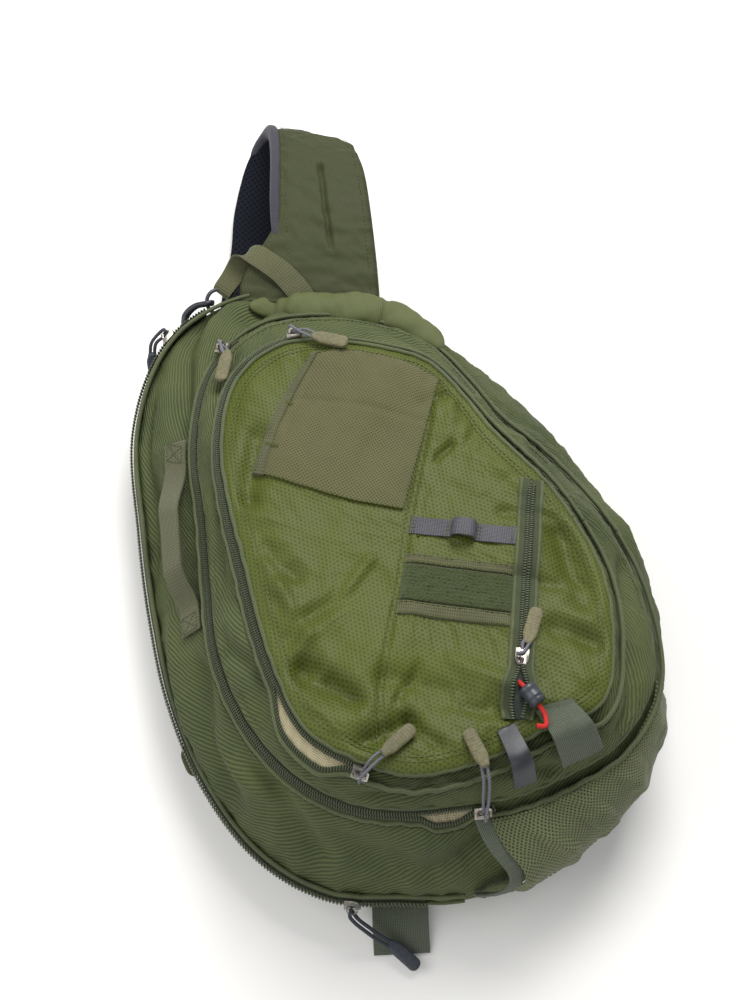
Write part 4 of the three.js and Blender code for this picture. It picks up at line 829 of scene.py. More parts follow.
def build_forms():
    """Works out the three tiers' outer surfaces and the height of the cloth over the floor."""
    main_top, second_top = tier(mm("main_height")), tier(mm("second_height"))
    face = tier(mm("front_height"))
    back_line = lambda y: PANEL_TOP + GAP + 0 * y
    high = mm("main_height")
    second = mm("second_height")
    front = mm("front_height")
    main_levels = [
        dict(height=back_line, start="belly", out=-PANEL_INSET),
        dict(height=between(back_line, belly_line, 0.45), start="belly", out=-3),
        dict(height=belly_line, start="belly"),
        dict(height=between(belly_line, main_top, 0.36), start="belly", end="middle", mix=0.3, out=4),
        dict(height=between(belly_line, main_top, 0.75), start="belly", end="middle", mix=0.72, out=5),
        dict(height=tier(high - 3), start="middle"),
        dict(height=main_top, start="middle", out=-7),
    ]
    second_levels = [
        dict(height=lambda y: main_top(y) + GAP, start="middle", out=-6),
        dict(height=tier(high + 6.5), start="middle"),
        dict(height=tier(high + 15), start="middle", end="front", mix=0.32, out=2.5),
        dict(height=tier(high + 23), start="middle", end="front", mix=0.68, out=2.5),
        dict(height=second_top, start="middle", end="front", mix=0.93),
        dict(height=second_top, start="front", out=-8),
    ]
    front_levels = [
        dict(height=lambda y: second_top(y) + GAP, start="front", out=-3),
        dict(height=tier(second + 3), start="front", out=0.2),
        dict(height=tier(second + 8), start="front", out=-0.2),
        dict(height=tier(front - 2), start="front", out=-4.5),
        dict(height=tier(front - 0.2), start="front", out=-12),
        dict(height=face, start="front", out=-24),
        dict(height=face, start="front", scale=0.66),
        dict(height=face, start="front", scale=0.42),
        dict(height=face, start="front", scale=0.2),
        dict(height=face, start="front", scale=0.004),
    ]
    FORMS["main"] = wall_form(main_levels, 420, 64, 2.2, 5.1, MAIN_FOLDS, 11)
    FORMS["second"] = wall_form(second_levels, 420, 46, 1.0, 4.0, SECOND_FOLDS, 23)
    degrees = np.linspace(0, 360, 421)
    sections = np.array([ring(degrees, **level) for level in front_levels])
    points = spline(sections, np.linspace(0, len(front_levels) - 1, 76))
    relief = face_relief(points[..., 0], points[..., 1], points)
    edge = np.linspace(0, len(front_levels) - 1, 76)[:, None]
    points[..., 2] += 2.0 * ease(edge, 3.6, 5.2) * (1 - ease(edge, 5.2, 8.5))
    points[..., 2] -= relief * ease(edge, 2.6, 4.6)
    puckers = round_noise(degrees, 91, 26, 54)[None] * bell((edge - 4.6) / 0.8)
    points[..., 2] += 0.75 * puckers
    points[:, -1] = points[:, 0]
    FORMS["front"] = points
    build_heights()


CELL = 1.5
HEIGHT_LOW = np.array([-200.0, -240.0])
HEIGHT_SIZE = (260, 340)


def build_heights():
    """Height of the cloth on a square grid of cells: the highest of many points of the three tiers,
    with empty cells filled from their neighbours."""
    field = np.full(HEIGHT_SIZE, -1.0)
    for name in ("main", "second", "front"):
        points = FORMS[name]
        rows = resample(points, len(points) * 4)
        dense = resample(rows.transpose(1, 0, 2), points.shape[1] * 3).reshape(-1, 3)
        cell = np.round((dense[:, :2] - HEIGHT_LOW) / CELL).astype(int)
        inside = np.all((cell >= 0) & (cell < HEIGHT_SIZE), axis=1)
        np.maximum.at(field, tuple(cell[inside].T), dense[inside, 2])
    for _ in range(3):
        near = np.max([np.roll(field, (i, j), (0, 1)) for i in (-1, 0, 1) for j in (-1, 0, 1)], axis=0)
        field = np.where(field < 0, near, field)
    FORMS["height"] = field


def cloth_height(x, y, soft=0):
    """Height of the cloth by bilinear interpolation between cells, over a softened field if asked."""
    field = FORMS["height"]
    for _ in range(soft):
        field = sum(np.roll(field, (i, j), (0, 1)) for i in (-1, 0, 1) for j in (-1, 0, 1)) / 9
    u = np.clip((np.asarray(x) - HEIGHT_LOW[0]) / CELL, 0, HEIGHT_SIZE[0] - 1.001)
    v = np.clip((np.asarray(y) - HEIGHT_LOW[1]) / CELL, 0, HEIGHT_SIZE[1] - 1.001)
    i, j = np.floor(u).astype(int), np.floor(v).astype(int)
    s, t = u - i, v - j
    return ((field[i, j] * (1 - s) + field[i + 1, j] * s) * (1 - t)
            + (field[i, j + 1] * (1 - s) + field[i + 1, j + 1] * s) * t)


def on_cloth(x, y, lift=0.0, soft=1):
    """Points over places of the cloth, raised by a lift."""
    x, y = np.broadcast_arrays(np.asarray(x, float), np.asarray(y, float))
    return np.stack([x, y, cloth_height(x, y, soft) + lift], -1)


def wall_point(degrees, share, lift=0.0):
    """A point of the main side wall, its normal, and the direction up the wall."""
    main_top = tier(mm("main_height"))

    def place(a, s):
        puff = 5 * np.sin(np.pi * np.minimum(1, s * 1.1))
        low = ring(a, belly_line, "belly", "middle", mix=s, out=puff)
        low[..., 2] = belly_line(low[..., 1]) + (main_top(low[..., 1]) - belly_line(low[..., 1])) * s
        return low

    point = place(degrees, share)
    along = place(degrees + 1, share) - place(degrees - 1, share)
    up = place(degrees, np.minimum(1, share + 0.05)) - place(degrees, np.maximum(0, share - 0.05))
    normal = unit(np.cross(along, up))
    return point + normal * np.asarray(lift)[..., None], normal, unit(up)


# Zippers

ZIPS = {
    "main": dict(start="belly", low=(0.6, lambda y: belly_line(y) - 1),
                 high=(-0.8, lambda y: belly_line(y) + ZIPPER_HEIGHT - 1), span=(126, 261)),
    "middle": dict(start="middle", low=(ZIPPER_LEAN - 1, lambda y: tier(mm("main_height") - 2.5)(y)),
                   high=(-1.0, lambda y: tier(mm("main_height") - 2.5 + ZIPPER_LEAN)(y)),
                   span=(126, 279)),
    "front": dict(start="front", low=(ZIPPER_LEAN, lambda y: tier(mm("second_height"))(y) + GAP + 0.2),
                  high=(0.2, lambda y: tier(mm("second_height"))(y) + GAP + ZIPPER_LEAN),
                  span=(117, 243)),
}


def zip_section(name, degrees):
    """Lower line, upper line and outward normal of a zipper band at angles round the body."""
    spec = ZIPS[name]
    below = ring(degrees, spec["low"][1], spec["start"], out=spec["low"][0] + GAP)
    above = ring(degrees, spec["high"][1], spec["start"], out=spec["high"][0] + GAP)
    away = unit(below * (1, 1, 0))
    up = above - below
    normal = away * up[..., 2:] - np.array([0, 0, 1.0]) * (up * away).sum(-1, keepdims=True)
    return below, above, unit(normal)


def zip_frame(name, degrees):
    """Centre of the band's outer face, its direction along, across (upwards) and outwards."""
    below, above, normal = zip_section(name, degrees)
    centre = (below + above) / 2 + normal * ZIPPER_THICKNESS
    across = unit(above - below)
    return centre, unit(np.cross(across, normal)), across, normal


def even_angles(name, start, end, step):
    """Angles that are even steps of length along a zipper."""
    dense = np.linspace(start, end, 1500)
    centre = zip_frame(name, dense)[0]
    travel = np.concatenate([[0], np.cumsum(np.linalg.norm(np.diff(centre, axis=0), axis=1))])
    return np.interp(np.arange(0, travel[-1], step), travel, dense)


def gape(name, degrees):
    """How far the lower half of a zipper hangs away from the upper half, in millimetres."""
    if name == "front":
        return 8.0 * ease(degrees, 211, 221) * (1 - ease(degrees, 232, 240))
    if name == "middle":
        return 5.0 * ease(degrees, 258, 264) * (1 - ease(degrees, 268, 275))
    return 0 * np.asarray(degrees)


def hang(name, degrees, drop):
    """How the lower half moves where a zipper gapes: outwards, and down as the cloth falls."""
    fall = {"main": 0.0, "middle": 0.75, "front": 0.18}[name]
    away = unit(zip_frame(name, degrees)[0] * (1, 1, 0))
    return (away - (0, 0, fall)) * drop


def zip_coil(name):
    """Teeth of a zipper: two rows of small beans, each row half a pitch from the other."""
    start, end = ZIPS[name]["span"]
    half = mm("coil_width") / 2
    # The main zipper has the largest coil, and it stands out past its seams
    size, sink = (1.2, -1.3) if name == "main" else (1.0, 0.4)
    pitch = mm("tooth_pitch") * size ** 2
    surfaces = []
    for side, shift in ((1, 0.0), (-1, 0.5)):
        angles = even_angles(name, start, end, pitch)
        angles = angles + shift * (angles[1] - angles[0])
        centre, along, across, normal = zip_frame(name, angles)
        drop = gape(name, angles)[:, None] if side < 0 else 0
        place = centre + across * (side * half * size * 0.42) - normal * sink + hang(name, angles, drop)
        tooth, quads = bead(half * size * 1.15, pitch * 0.8, 1.8 * size, 4, 6)
        surfaces.append(copies(tooth, quads, place, across, along, normal))
    return surfaces


def zip_tapes(name):
    """Both woven tapes of a zipper: thin strips from beside the coil to under the seam."""
    start, end = ZIPS[name]["span"]
    angles = np.linspace(start, end, 240)
    centre, _, across, normal = zip_frame(name, angles)
    surfaces = []
    for side in (1, -1):
        drop = gape(name, angles)[:, None] if side < 0 else 0
        path = centre + across * side * 3.3 - normal * 1.4 + hang(name, angles, drop)
        surfaces.append(sweep(path, across, flat_profile(5.6, 0.8, 4, 12)))
    return surfaces


def seam_line(name, side, offset, sink=0.0, start=0.0, end=360.0, count=420):
    """A line that follows a zipper's path round the body, above it or below it."""
    angles = np.linspace(start, end, count)
    centre, _, across, normal = zip_frame(name, angles)
    drop = (gape(name, angles) if side < 0 else 0 * angles)[:, None]
    wave = 0.25 * round_noise(angles, 5 + side, 40, 70)[:, None]
    return centre + across * (side * offset + wave) - normal * sink + hang(name, angles, drop), normal


def pocket_line():
    """Middle of the flat pocket's zipper, from its head to its foot, with its side direction."""
    head = np.array([0.2235 * mm("body_width"), 0.054 * mm("body_length")])
    foot = np.array([0.114 * mm("body_width"), -0.28 * mm("body_length")])
    run = foot - head
    side = np.array([-run[1], run[0]]) / np.linalg.norm(run)
    return head, run, side


def pocket_place(t, offset):
    """A place along the flat pocket's zipper and beside it."""
    head, run, side = pocket_line()
    place = head + np.asarray(t)[..., None] * run + np.asarray(offset)[..., None] * side
    return place[..., 0], place[..., 1]


# Sheets and cords

def closed_sheet(upper, lower, uv=None):
    """A thick sheet: an upper and a lower grid joined round their edges, so that it has no opening."""
    uv = grid_uv(upper) if uv is None else uv
    loop = np.concatenate([upper, lower[:, ::-1], upper[:, :1]], 1)
    middle = (upper + lower) / 2
    ends = [np.concatenate([middle[k], middle[k][::-1], middle[k][:1]])[None] for k in (0, -1)]
    wrapped = np.concatenate([uv, uv[:, ::-1], uv[:, :1]], 1)
    return grid(np.concatenate([ends[0], loop, ends[1]]),
                np.concatenate([wrapped[:1], wrapped, wrapped[-1:]]))


def rounded(rows, columns, power=8):
    """A sheet's fullness, one in its middle and falling at its edges: (1 - |s|^p)(1 - |t|^p)."""
    s = np.linspace(-1, 1, rows)[:, None]
    t = np.linspace(-1, 1, columns)[None]
    return (1 - np.abs(s) ** power) * (1 - np.abs(t) ** power)


def smooth_path(points, count):
    """A centripetal curve through a few points, sampled at even lengths: cubic pieces whose slopes
    come from the neighbours, weighed by the square roots of the distances."""
    p = np.asarray(points, float)
    d = np.maximum(np.linalg.norm(np.diff(p, axis=0), axis=1) ** 0.5, 1e-6)
    slope = np.diff(p, axis=0) / d[:, None]
    m = np.concatenate([slope[:1], slope[:-1], slope[-1:]])[:len(p)]
    m[1:-1] = (slope[:-1] * d[1:, None] + slope[1:] * d[:-1, None]) / (d[1:] + d[:-1])[:, None]
    m[-1] = slope[-1]
    knots = np.concatenate([[0], np.cumsum(d)])
    at = np.linspace(0, knots[-1], count * 6)
    k = np.clip(np.searchsorted(knots, at, "right") - 1, 0, len(d) - 1)
    t = ((at - knots[k]) / d[k])[:, None]
    h = d[k][:, None]
    fine = ((2 * t**3 - 3 * t**2 + 1) * p[k] + (t**3 - 2 * t**2 + t) * h * m[k]
            + (3 * t**2 - 2 * t**3) * p[k + 1] + (t**3 - t**2) * h * m[k + 1])
    travel = np.concatenate([[0], np.cumsum(np.linalg.norm(np.diff(fine, axis=0), axis=1))])
    even = np.linspace(0, travel[-1], count)
    return np.stack([np.interp(even, travel, fine[:, i]) for i in range(3)], -1)


def forms():
    """The three tiers, worked out once."""
    if not FORMS:
        build_forms()
    return FORMS


def slider_frame(name):
    """Origin and axes of a slider: along the teeth, across them, and outwards."""
    pull = PULLS[name]
    if pull["zip"] == "pocket":
        t = pull["turn"] + np.array([-0.05, 0.0, 0.05])
        x, y = pocket_place(t, 0 * t)
        line = np.stack([x, y, tier(mm("front_height"))(y) + 1 + 1.8], -1)
        origin, along, normal = line[1], unit(line[2] - line[0]), np.array([0, 0, 1.0])
    else:
        centre, along, _, normal = zip_frame(pull["zip"], np.array([pull["turn"]]))
        origin, along, normal = centre[0], along[0], normal[0]
    x_axis = -along if pull["back"] else along
    z_axis = unit(normal - x_axis * normal.dot(x_axis))
    return origin + z_axis * 2 * GAP, x_axis, np.cross(z_axis, x_axis), z_axis


def cord_width(name):
    return 2.6 if PULLS[name]["heavy"] else 2.0


def pull_route(name):
    """A doubled cord: out from the tab on one side, under and round the bail, and back on the other."""
    chosen = np.array(PULLS[name]["route"], float)
    before = chosen[np.maximum(np.arange(len(chosen)) - 1, 0)]
    after = chosen[np.minimum(np.arange(len(chosen)) + 1, len(chosen) - 1)]
    side = unit(np.cross(after - before, (0, 0, 1.0))) * PULL_SPREAD / 2
    origin, _, y_axis, z_axis = slider_frame(name)
    nearest = np.sign((chosen[-1] - origin).dot(y_axis))
    cord = cord_width(name)
    bail_top = SLIDER_THICKNESS + BAIL_OPENING + BAIL_WIRE
    under = origin + z_axis * (SLIDER_THICKNESS + BAIL_OPENING / 2)
    turn = (origin - y_axis * nearest * (0.15 * SLIDER_WIDTH + cord)
            + z_axis * (SLIDER_THICKNESS + BAIL_OPENING + BAIL_WIRE / 2))
    over = origin + z_axis * (bail_top + cord / 2 + THREAD_GAP)
    return np.concatenate([chosen + side, [under, turn, over], (chosen - side)[::-1]])


def tab_surface(start, end, heavy):
    """A moulded tab: a rounded section carried along its length, with shallow grip grooves."""
    along = unit(np.asarray(end, float) - start)
    flat = unit(np.array([0, 0, 1.0]) - along * along[2])
    reach = np.linspace(0, 1, 56)
    span = 27.0
    middle = np.asarray(start) + along * (span / 2 - 5.0)
    path = middle + (reach[:, None] - 0.5) * span * along
    tip = np.sqrt(np.clip(1 - np.clip((reach - 0.84) / 0.16, 0, 1) ** 2, 0.0009, 1))
    neck = 0.58 + 0.42 * ease(reach, 0.02, 0.30)
    root = np.sqrt(np.clip(1 - np.clip((0.05 - reach) / 0.05, 0, 1) ** 2, 0.02, 1))
    width = 9.3 * neck * tip * root
    gripped = ease(reach, 0.34, 0.4) * (1 - ease(reach, 0.78, 0.84))
    waves = 0.32 * np.cos(2 * np.pi * (reach - 0.3) / 0.075) * gripped
    thick = (4.4 + (0.3 if heavy else 0.0) + waves) * np.minimum(tip * 1.3, 1) * root
    section = flat_profile(1.0, 1.0, 3.4, 26)
    profile = section[None] * np.stack([width, thick], -1)[:, None]
    return sweep(path, np.cross(flat, along), profile)


def build_pulls():
    """Pull cords and tabs."""
    for name, pull in PULLS.items():
        cord = cord_width(name)
        path = smooth_path(pull_route(name), 110)
        finish_name = "black_cord" if pull["heavy"] else "grey_cord"
        line = make_piece("cord_" + name, [round_path(path, cord, 12)], finish_name,
                          ["pull_cord_" + name])
        rubber = "black_rubber" if pull["heavy"] else "tan_rubber"
        tab = make_piece("tab_" + name, [tab_surface(pull["route"][0], pull["tab_to"], pull["heavy"])],
                         rubber, ["pull_tab_" + name])


def build_bungee():
    """The red bungee and the cord lock on it."""
    path = smooth_path(BUNGEE_ROUTE, 120)
    line = make_piece("bungee", [round_path(path, 3.0, 14)], "red_cord", ["red_bungee"])
    one, centre, two = (np.array(BUNGEE_ROUTE[k], float) for k in (1, 2, 3))
    axis = unit(two - one)
    reach = np.linspace(-1, 1, 40)
    radius = 5.8 * (1 - np.abs(reach) ** 9) ** 0.5
    radius = radius * (1 - 0.13 * bell((reach - 0.45) / 0.06) - 0.08 * bell((reach + 0.2) / 0.25))
    section = round_profile(2.0, 28)
    barrel = sweep(centre + reach[:, None] * 7.3 * axis, np.cross(axis, (0.2, 0.3, 1.0)),
                   section[None] * np.maximum(radius, 0.05)[:, None, None])
    lock = make_piece("lock", [barrel], "grey_plastic", ["cord_lock"])


# Body, its back and its seams

def build_body():
    """The three compartments as thin shells, and the rolled cloth at the shoulder."""
    forms()
    wall = mm("cloth_wall")
    make_piece("main_body", [grid(FORMS["main"])], "body_nylon", ["main_shell"],
               solid=wall, closed=False)
    make_piece("second_body", [grid(FORMS["second"])], "body_nylon", ["second_shell"],
               solid=wall, closed=False, inside=(0, 0, 80))
    make_piece("front_body", [grid(FORMS["front"], FORMS["front"][..., :2] * MM)], "face_nylon",
               ["front_pocket"], solid=wall, closed=False, inside=(0, 0, 100))
    line = np.array([(-92, 226, 0), (-76.5, 227.1, 0), (-54.6, 220.5, 0), (-29, 213.5, 0), (-2.1, 205.4, 0),
                     (10.1, 201.1, 0), (24.3, 189.8, 0), (37.2, 175.3, 0), (44, 164, 0)], float)
    path = smooth_path(line, 150)
    path[:, 2] = cloth_height(path[:, 0], path[:, 1], 4) + 3.0
    share = np.linspace(-1, 1, len(path))
    radius = 11.5 * np.sqrt(np.clip(1 - np.abs(share) ** 3.5, 0.002, 1)) * (1 + 0.07 * np.sin(share * 7 + 1))
    angles = np.linspace(0, 2 * np.pi, 41)
    creased = 1 + 0.05 * np.sin(angles[None] * 3 + share[:, None] * 16)
    creased = creased + 0.02 * np.sin(share[:, None] * 45 + np.sin(angles[None] * 2) * 2.5)
    section = np.stack([np.cos(angles), np.sin(angles)], -1)[None] * (radius[:, None] * creased)[..., None]
    # Two pinches across the roll
    pinched = 1 - 0.24 * bell((share + 0.62) / 0.035) - 0.16 * bell((share - 0.3) / 0.03)
    section = section * pinched[:, None, None]
    section = section * (1.1, 0.6)
    # The roll's finish carries painted light on its top.
    make_piece("shoulder_roll", [sweep(path, np.cross((0, 0, 1.0), np.gradient(path, axis=0)), section)],
               "roll_nylon")


def build_seams():
    """Rolled seams beside the zippers and all round, with top-stitching in the cloth."""
    cord = mm("seam_cord")
    surfaces = []
    for name, start, end in (("main", 117, 270), ("middle", 0, 360), ("front", 0, 360)):
        for side in (1, -1):
            path, _ = seam_line(name, side, SEAM_OFFSET, 2.4 if name == "main" else 1.3, start, end)
            surfaces.append(round_path(path, cord, 8))
    make_piece("seam_rolls", surfaces, "rolled_nylon")
    threads = []
    for name, side in (("middle", 1), ("middle", -1), ("front", -1), ("main", 1)):
        start, end = (120, 267) if name == "main" else (0, 360)
        path, normal = seam_line(name, side, STITCH_OFFSET, 1.6, start, end, 700)
        lift = np.maximum(cloth_height(path[:, 0], path[:, 1], 1) - path[:, 2], -2.5)
        path[:, 2] += np.where(np.abs(lift) < 4, lift, 0)
        threads.append(stitches(path, normal, thread=0.7))
    make_piece("seam_stitches", threads, "dark_thread")
    rim = []
    degrees = np.linspace(0, 360, 900)
    for out in (-7.5, -10.5):
        line = ring(degrees, tier(mm("front_height")), "front", out=out)
        rim.append(stitches(on_cloth(line[:, 0], line[:, 1], 0.1, 1), (0, 0, 1.0), thread=0.75))
    away = np.array(CENTRE_SEAM, float)
    for offset in (-2.6, 2.6):
        path = smooth_path(np.concatenate([away + (offset, 0), np.zeros((len(away), 1))], 1), 300)
        rim.append(stitches(on_cloth(path[:, 0], path[:, 1], 0.15, 1), (0, 0, 1.0), thread=0.7))
    make_piece("face_stitches", rim, "thread")


def build_zippers():
    """Coils, tapes and linings of the three round zippers, and all seven sliders."""
    for name in ZIPS:
        make_piece(name + "_tapes", zip_tapes(name), "zipper_tape", [name + "_zipper"])
        make_piece(name + "_coil", zip_coil(name), "coil", merge=1e-6)
    for name, start, end in (("front", 209, 241), ("middle", 256, 276)):
        angles = np.linspace(start, end, 70)
        centre, _, across, normal = zip_frame(name, angles)
        drop = gape(name, angles)
        share = np.linspace(0, 1, 14)[:, None, None]
        move = hang(name, angles, drop[:, None])
        low = centre - across * 1.4 + move
        high = centre + across * 1.4
        sunk = normal * (1.7 + 0.5 * np.sin(np.pi * share) * ease(drop[:, None], 0, 6))
        upper = low[None] * (1 - share) + high[None] * share - sunk
        upper = upper + normal * 0.5 * np.sin(np.arange(70) * 0.75 + 3 * share[..., 0])[..., None] * ease(
            drop[:, None], 2, 7)
        make_piece("lining_" + name + "_cloth", [closed_sheet(upper, upper - normal * 0.7)],
                   "beige_lining", ["lining_" + name])
    for name in PULLS:
        refined("slider_" + name, "satin_nickel", 0.4, 2)


def build_pocket_zip():
    """The flat pocket's zipper: two tapes, coils that part below the slider, and cloth lips."""
    t = np.linspace(-0.03, 1, 260)
    split = 3.4 * ease(t, 0.79, 0.88) * (1 - 0.55 * ease(t, 0.93, 1.0))
    tapes, coils, lips = [], [], []
    for side in (-1, 1):
        middle = side * (3.7 + split)
        offsets = np.linspace(-2.9, 2.9, 8)[None] + middle[:, None]
        x, y = pocket_place(t[:, None] + 0 * offsets, offsets)
        lift = 1.2 + 0.4 * np.clip(1 - np.abs(offsets - side * 1.0) / 5, 0, 1)
        tapes.append(closed_sheet(on_cloth(x, y, lift + 0.8), on_cloth(x, y, lift - 0.2)))
        count = int(165 / mm("tooth_pitch"))
        at = (np.arange(count) + (0.25 if side > 0 else 0.75)) / count
        gap = np.interp(at, t, split)
        x, y = pocket_place(at, side * (1.25 + gap))
        place = on_cloth(x, y, 2.5)
        _, run, across = pocket_line()
        along = unit(np.array([run[0], run[1], 0.0]))
        side_axis = np.array([across[0], across[1], 0.0])
        tooth, quads = bead(3.6, mm("tooth_pitch") * 0.86, 1.5, 4, 6)
        ones = np.ones((count, 1))
        upward = np.array([0, 0, 1.0])
        coils.append(copies(tooth, quads, place, side_axis * ones, along * ones, upward * ones))
        edge = side * (6.9 + split * 0.9)
        x, y = pocket_place(t, edge)
        lips.append(round_path(on_cloth(x, y, 0.9), 3.0, 10))
    make_piece("pocket_zip_tapes", tapes, "zipper_tape", ["pocket_zipper"])
    make_piece("pocket_zip_coil", coils, "coil", merge=1e-6)
    make_piece("pocket_lips", lips, "rolled_nylon")
    # A dark sheet in the open pocket's mouth: painted shade of its unlit inside.
    inner = np.linspace(0.76, 1.0, 40)
    offsets = np.linspace(-4.6, 4.6, 9)[None] + 0 * inner[:, None]
    x, y = pocket_place(inner[:, None] + 0 * offsets, offsets)
    make_piece("pocket_inside", [closed_sheet(on_cloth(x, y, 0.9), on_cloth(x, y, 0.0))], "pocket_dark")


def net_place(s, t):
    """Places of the net: its four corners mixed, with bowed head and foot."""
    width, body = mm("body_width"), mm("body_length")
    left = np.array([-0.268, 0.131]) + t[..., None] * (np.array([-0.133, 0.32]) - (-0.268, 0.131))
    right = np.array([-0.019, 0.045]) + t[..., None] * (np.array([0.092, 0.25]) - (-0.019, 0.045))
    place = left + (right - left) * s[..., None]
    bow = 4 * s * (1 - s)
    return ((place[..., 0] - 0.01 * np.sin(np.pi * t) * (1 - s)) * width,
            (place[..., 1] + bow * (-0.008 + 0.032 * t)) * body)


def build_net():
    """Net pocket: a slightly baggy net, its turned hem on the left, edge tape and bar-tacks."""
    s, t = np.meshgrid(np.linspace(0, 1, 90), np.linspace(0, 1, 80))
    x, y = net_place(s, t)
    flat = np.stack([x, y], -1)
    arch = np.sin(np.pi * t)
    bag = 2.4 * arch * (1 - s) ** 0.7 * np.minimum(1, s * 12) + 0.5 * arch * (s < 0.08)
    gather = 0.9 * ripples(flat * (1.0, 0.6), 31, 40) * np.sin(np.pi * t) * (1 - 0.5 * s)
    lift = 1.0 + bag + gather - 0.9 * bell((t - 0.60 - 0.04 * s) / 0.022)
    upper = on_cloth(x, y, lift + 0.8, 3)
    net = make_piece("net", [closed_sheet(upper, on_cloth(x, y, lift, 3))], "khaki_mesh",
                     ["net_pocket"])
    u, v = np.meshgrid(np.linspace(-0.075, 0.012, 12), np.linspace(-0.01, 1.01, 120))
    x, y = net_place(u, v)
    fat = 1 - np.abs(np.linspace(-1, 1, 12))[None] ** 6
    puff = 0.5 * np.sin(np.pi * v)
    hem = closed_sheet(on_cloth(x, y, 1.0 + 2.1 * fat + puff, 3), on_cloth(x, y, 0.5 + puff * 0.6, 3))
    make_piece("net_hem", [hem], "webbing")
    lines = []
    rim = np.linspace(0, 1, 60)
    one, none = np.ones(60), np.zeros(60)
    for a, b in ((rim, none), (one, rim), (rim[::-1], one)):
        x, y = net_place(a, b)
        lines.append(stitches(on_cloth(x, y, 2.1, 2), (0, 0, 1.0), thread=0.8))
    for a in (-0.062, -0.006):
        x, y = net_place(a + 0 * rim, rim)
        lines.append(stitches(on_cloth(x, y, 3.2, 3), (0, 0, 1.0), thread=0.7))
    for cx, cy in ((-70.8, 112.8), (-88, 82.7)):
        across = np.linspace(-5, 5, 20)
        for shift in (-0.8, 0, 0.8):
            lines.append(stitches(on_cloth(cx + across * 0.86 + shift * 0.5, cy - across * 0.5 + shift * 0.86,
                                           3.4, 3), (0, 0, 1.0), 1.2, 0.9))
    make_piece("net_stitches", lines, "thread")


FACE_TILT = np.arctan(0.53 * 131 / 480)
PATCH_CENTRE = np.array([19.8, -41.28])
PATCH_TURN = np.radians(16.5)


def patch_xy(a, b):
    """Places in the patch's own turned frame, a along the strips and b across, to x and y."""
    x = PATCH_CENTRE[0] + a * np.cos(PATCH_TURN) + b * np.sin(PATCH_TURN)
    y = PATCH_CENTRE[1] - a * np.sin(PATCH_TURN) + b * np.cos(PATCH_TURN)
    return x, y * np.cos(FACE_TILT)


def in_patch(x, y):
    """The way back: x and y to places in the patch's own turned frame."""
    dx, dy = x - PATCH_CENTRE[0], y / np.cos(FACE_TILT) - PATCH_CENTRE[1]
    return (dx * np.cos(PATCH_TURN) - dy * np.sin(PATCH_TURN),
            dx * np.sin(PATCH_TURN) + dy * np.cos(PATCH_TURN))


def strip_ends(b):
    """Where a strip at height b meets the centre seam on the left and the pocket's zipper on the right."""
    t = np.array([0.0, 1.0])
    left = in_patch(np.array([-2.16, -25.56]), np.array([14.4, -62.4]))
    right = in_patch(*pocket_place(t, -POCKET_TAPE / 2 + 0 * t))
    at = lambda line: line[0][0] + (b - line[1][0]) / (line[1][1] - line[1][0]) * (line[0][1] - line[0][0])
    return at(left), at(right) - 1.0


def strip_grid(low, high, rows, columns):
    """A strip's places and UV, between its two ends at every height."""
    b = np.linspace(low, high, rows)[:, None]
    left, right = strip_ends(b)
    a = left + (right - left) * np.linspace(0, 1, columns)[None]
    x, y = patch_xy(a, b + 0 * a)
    return x, y, np.stack([a, b + 0 * a], -1) * MM


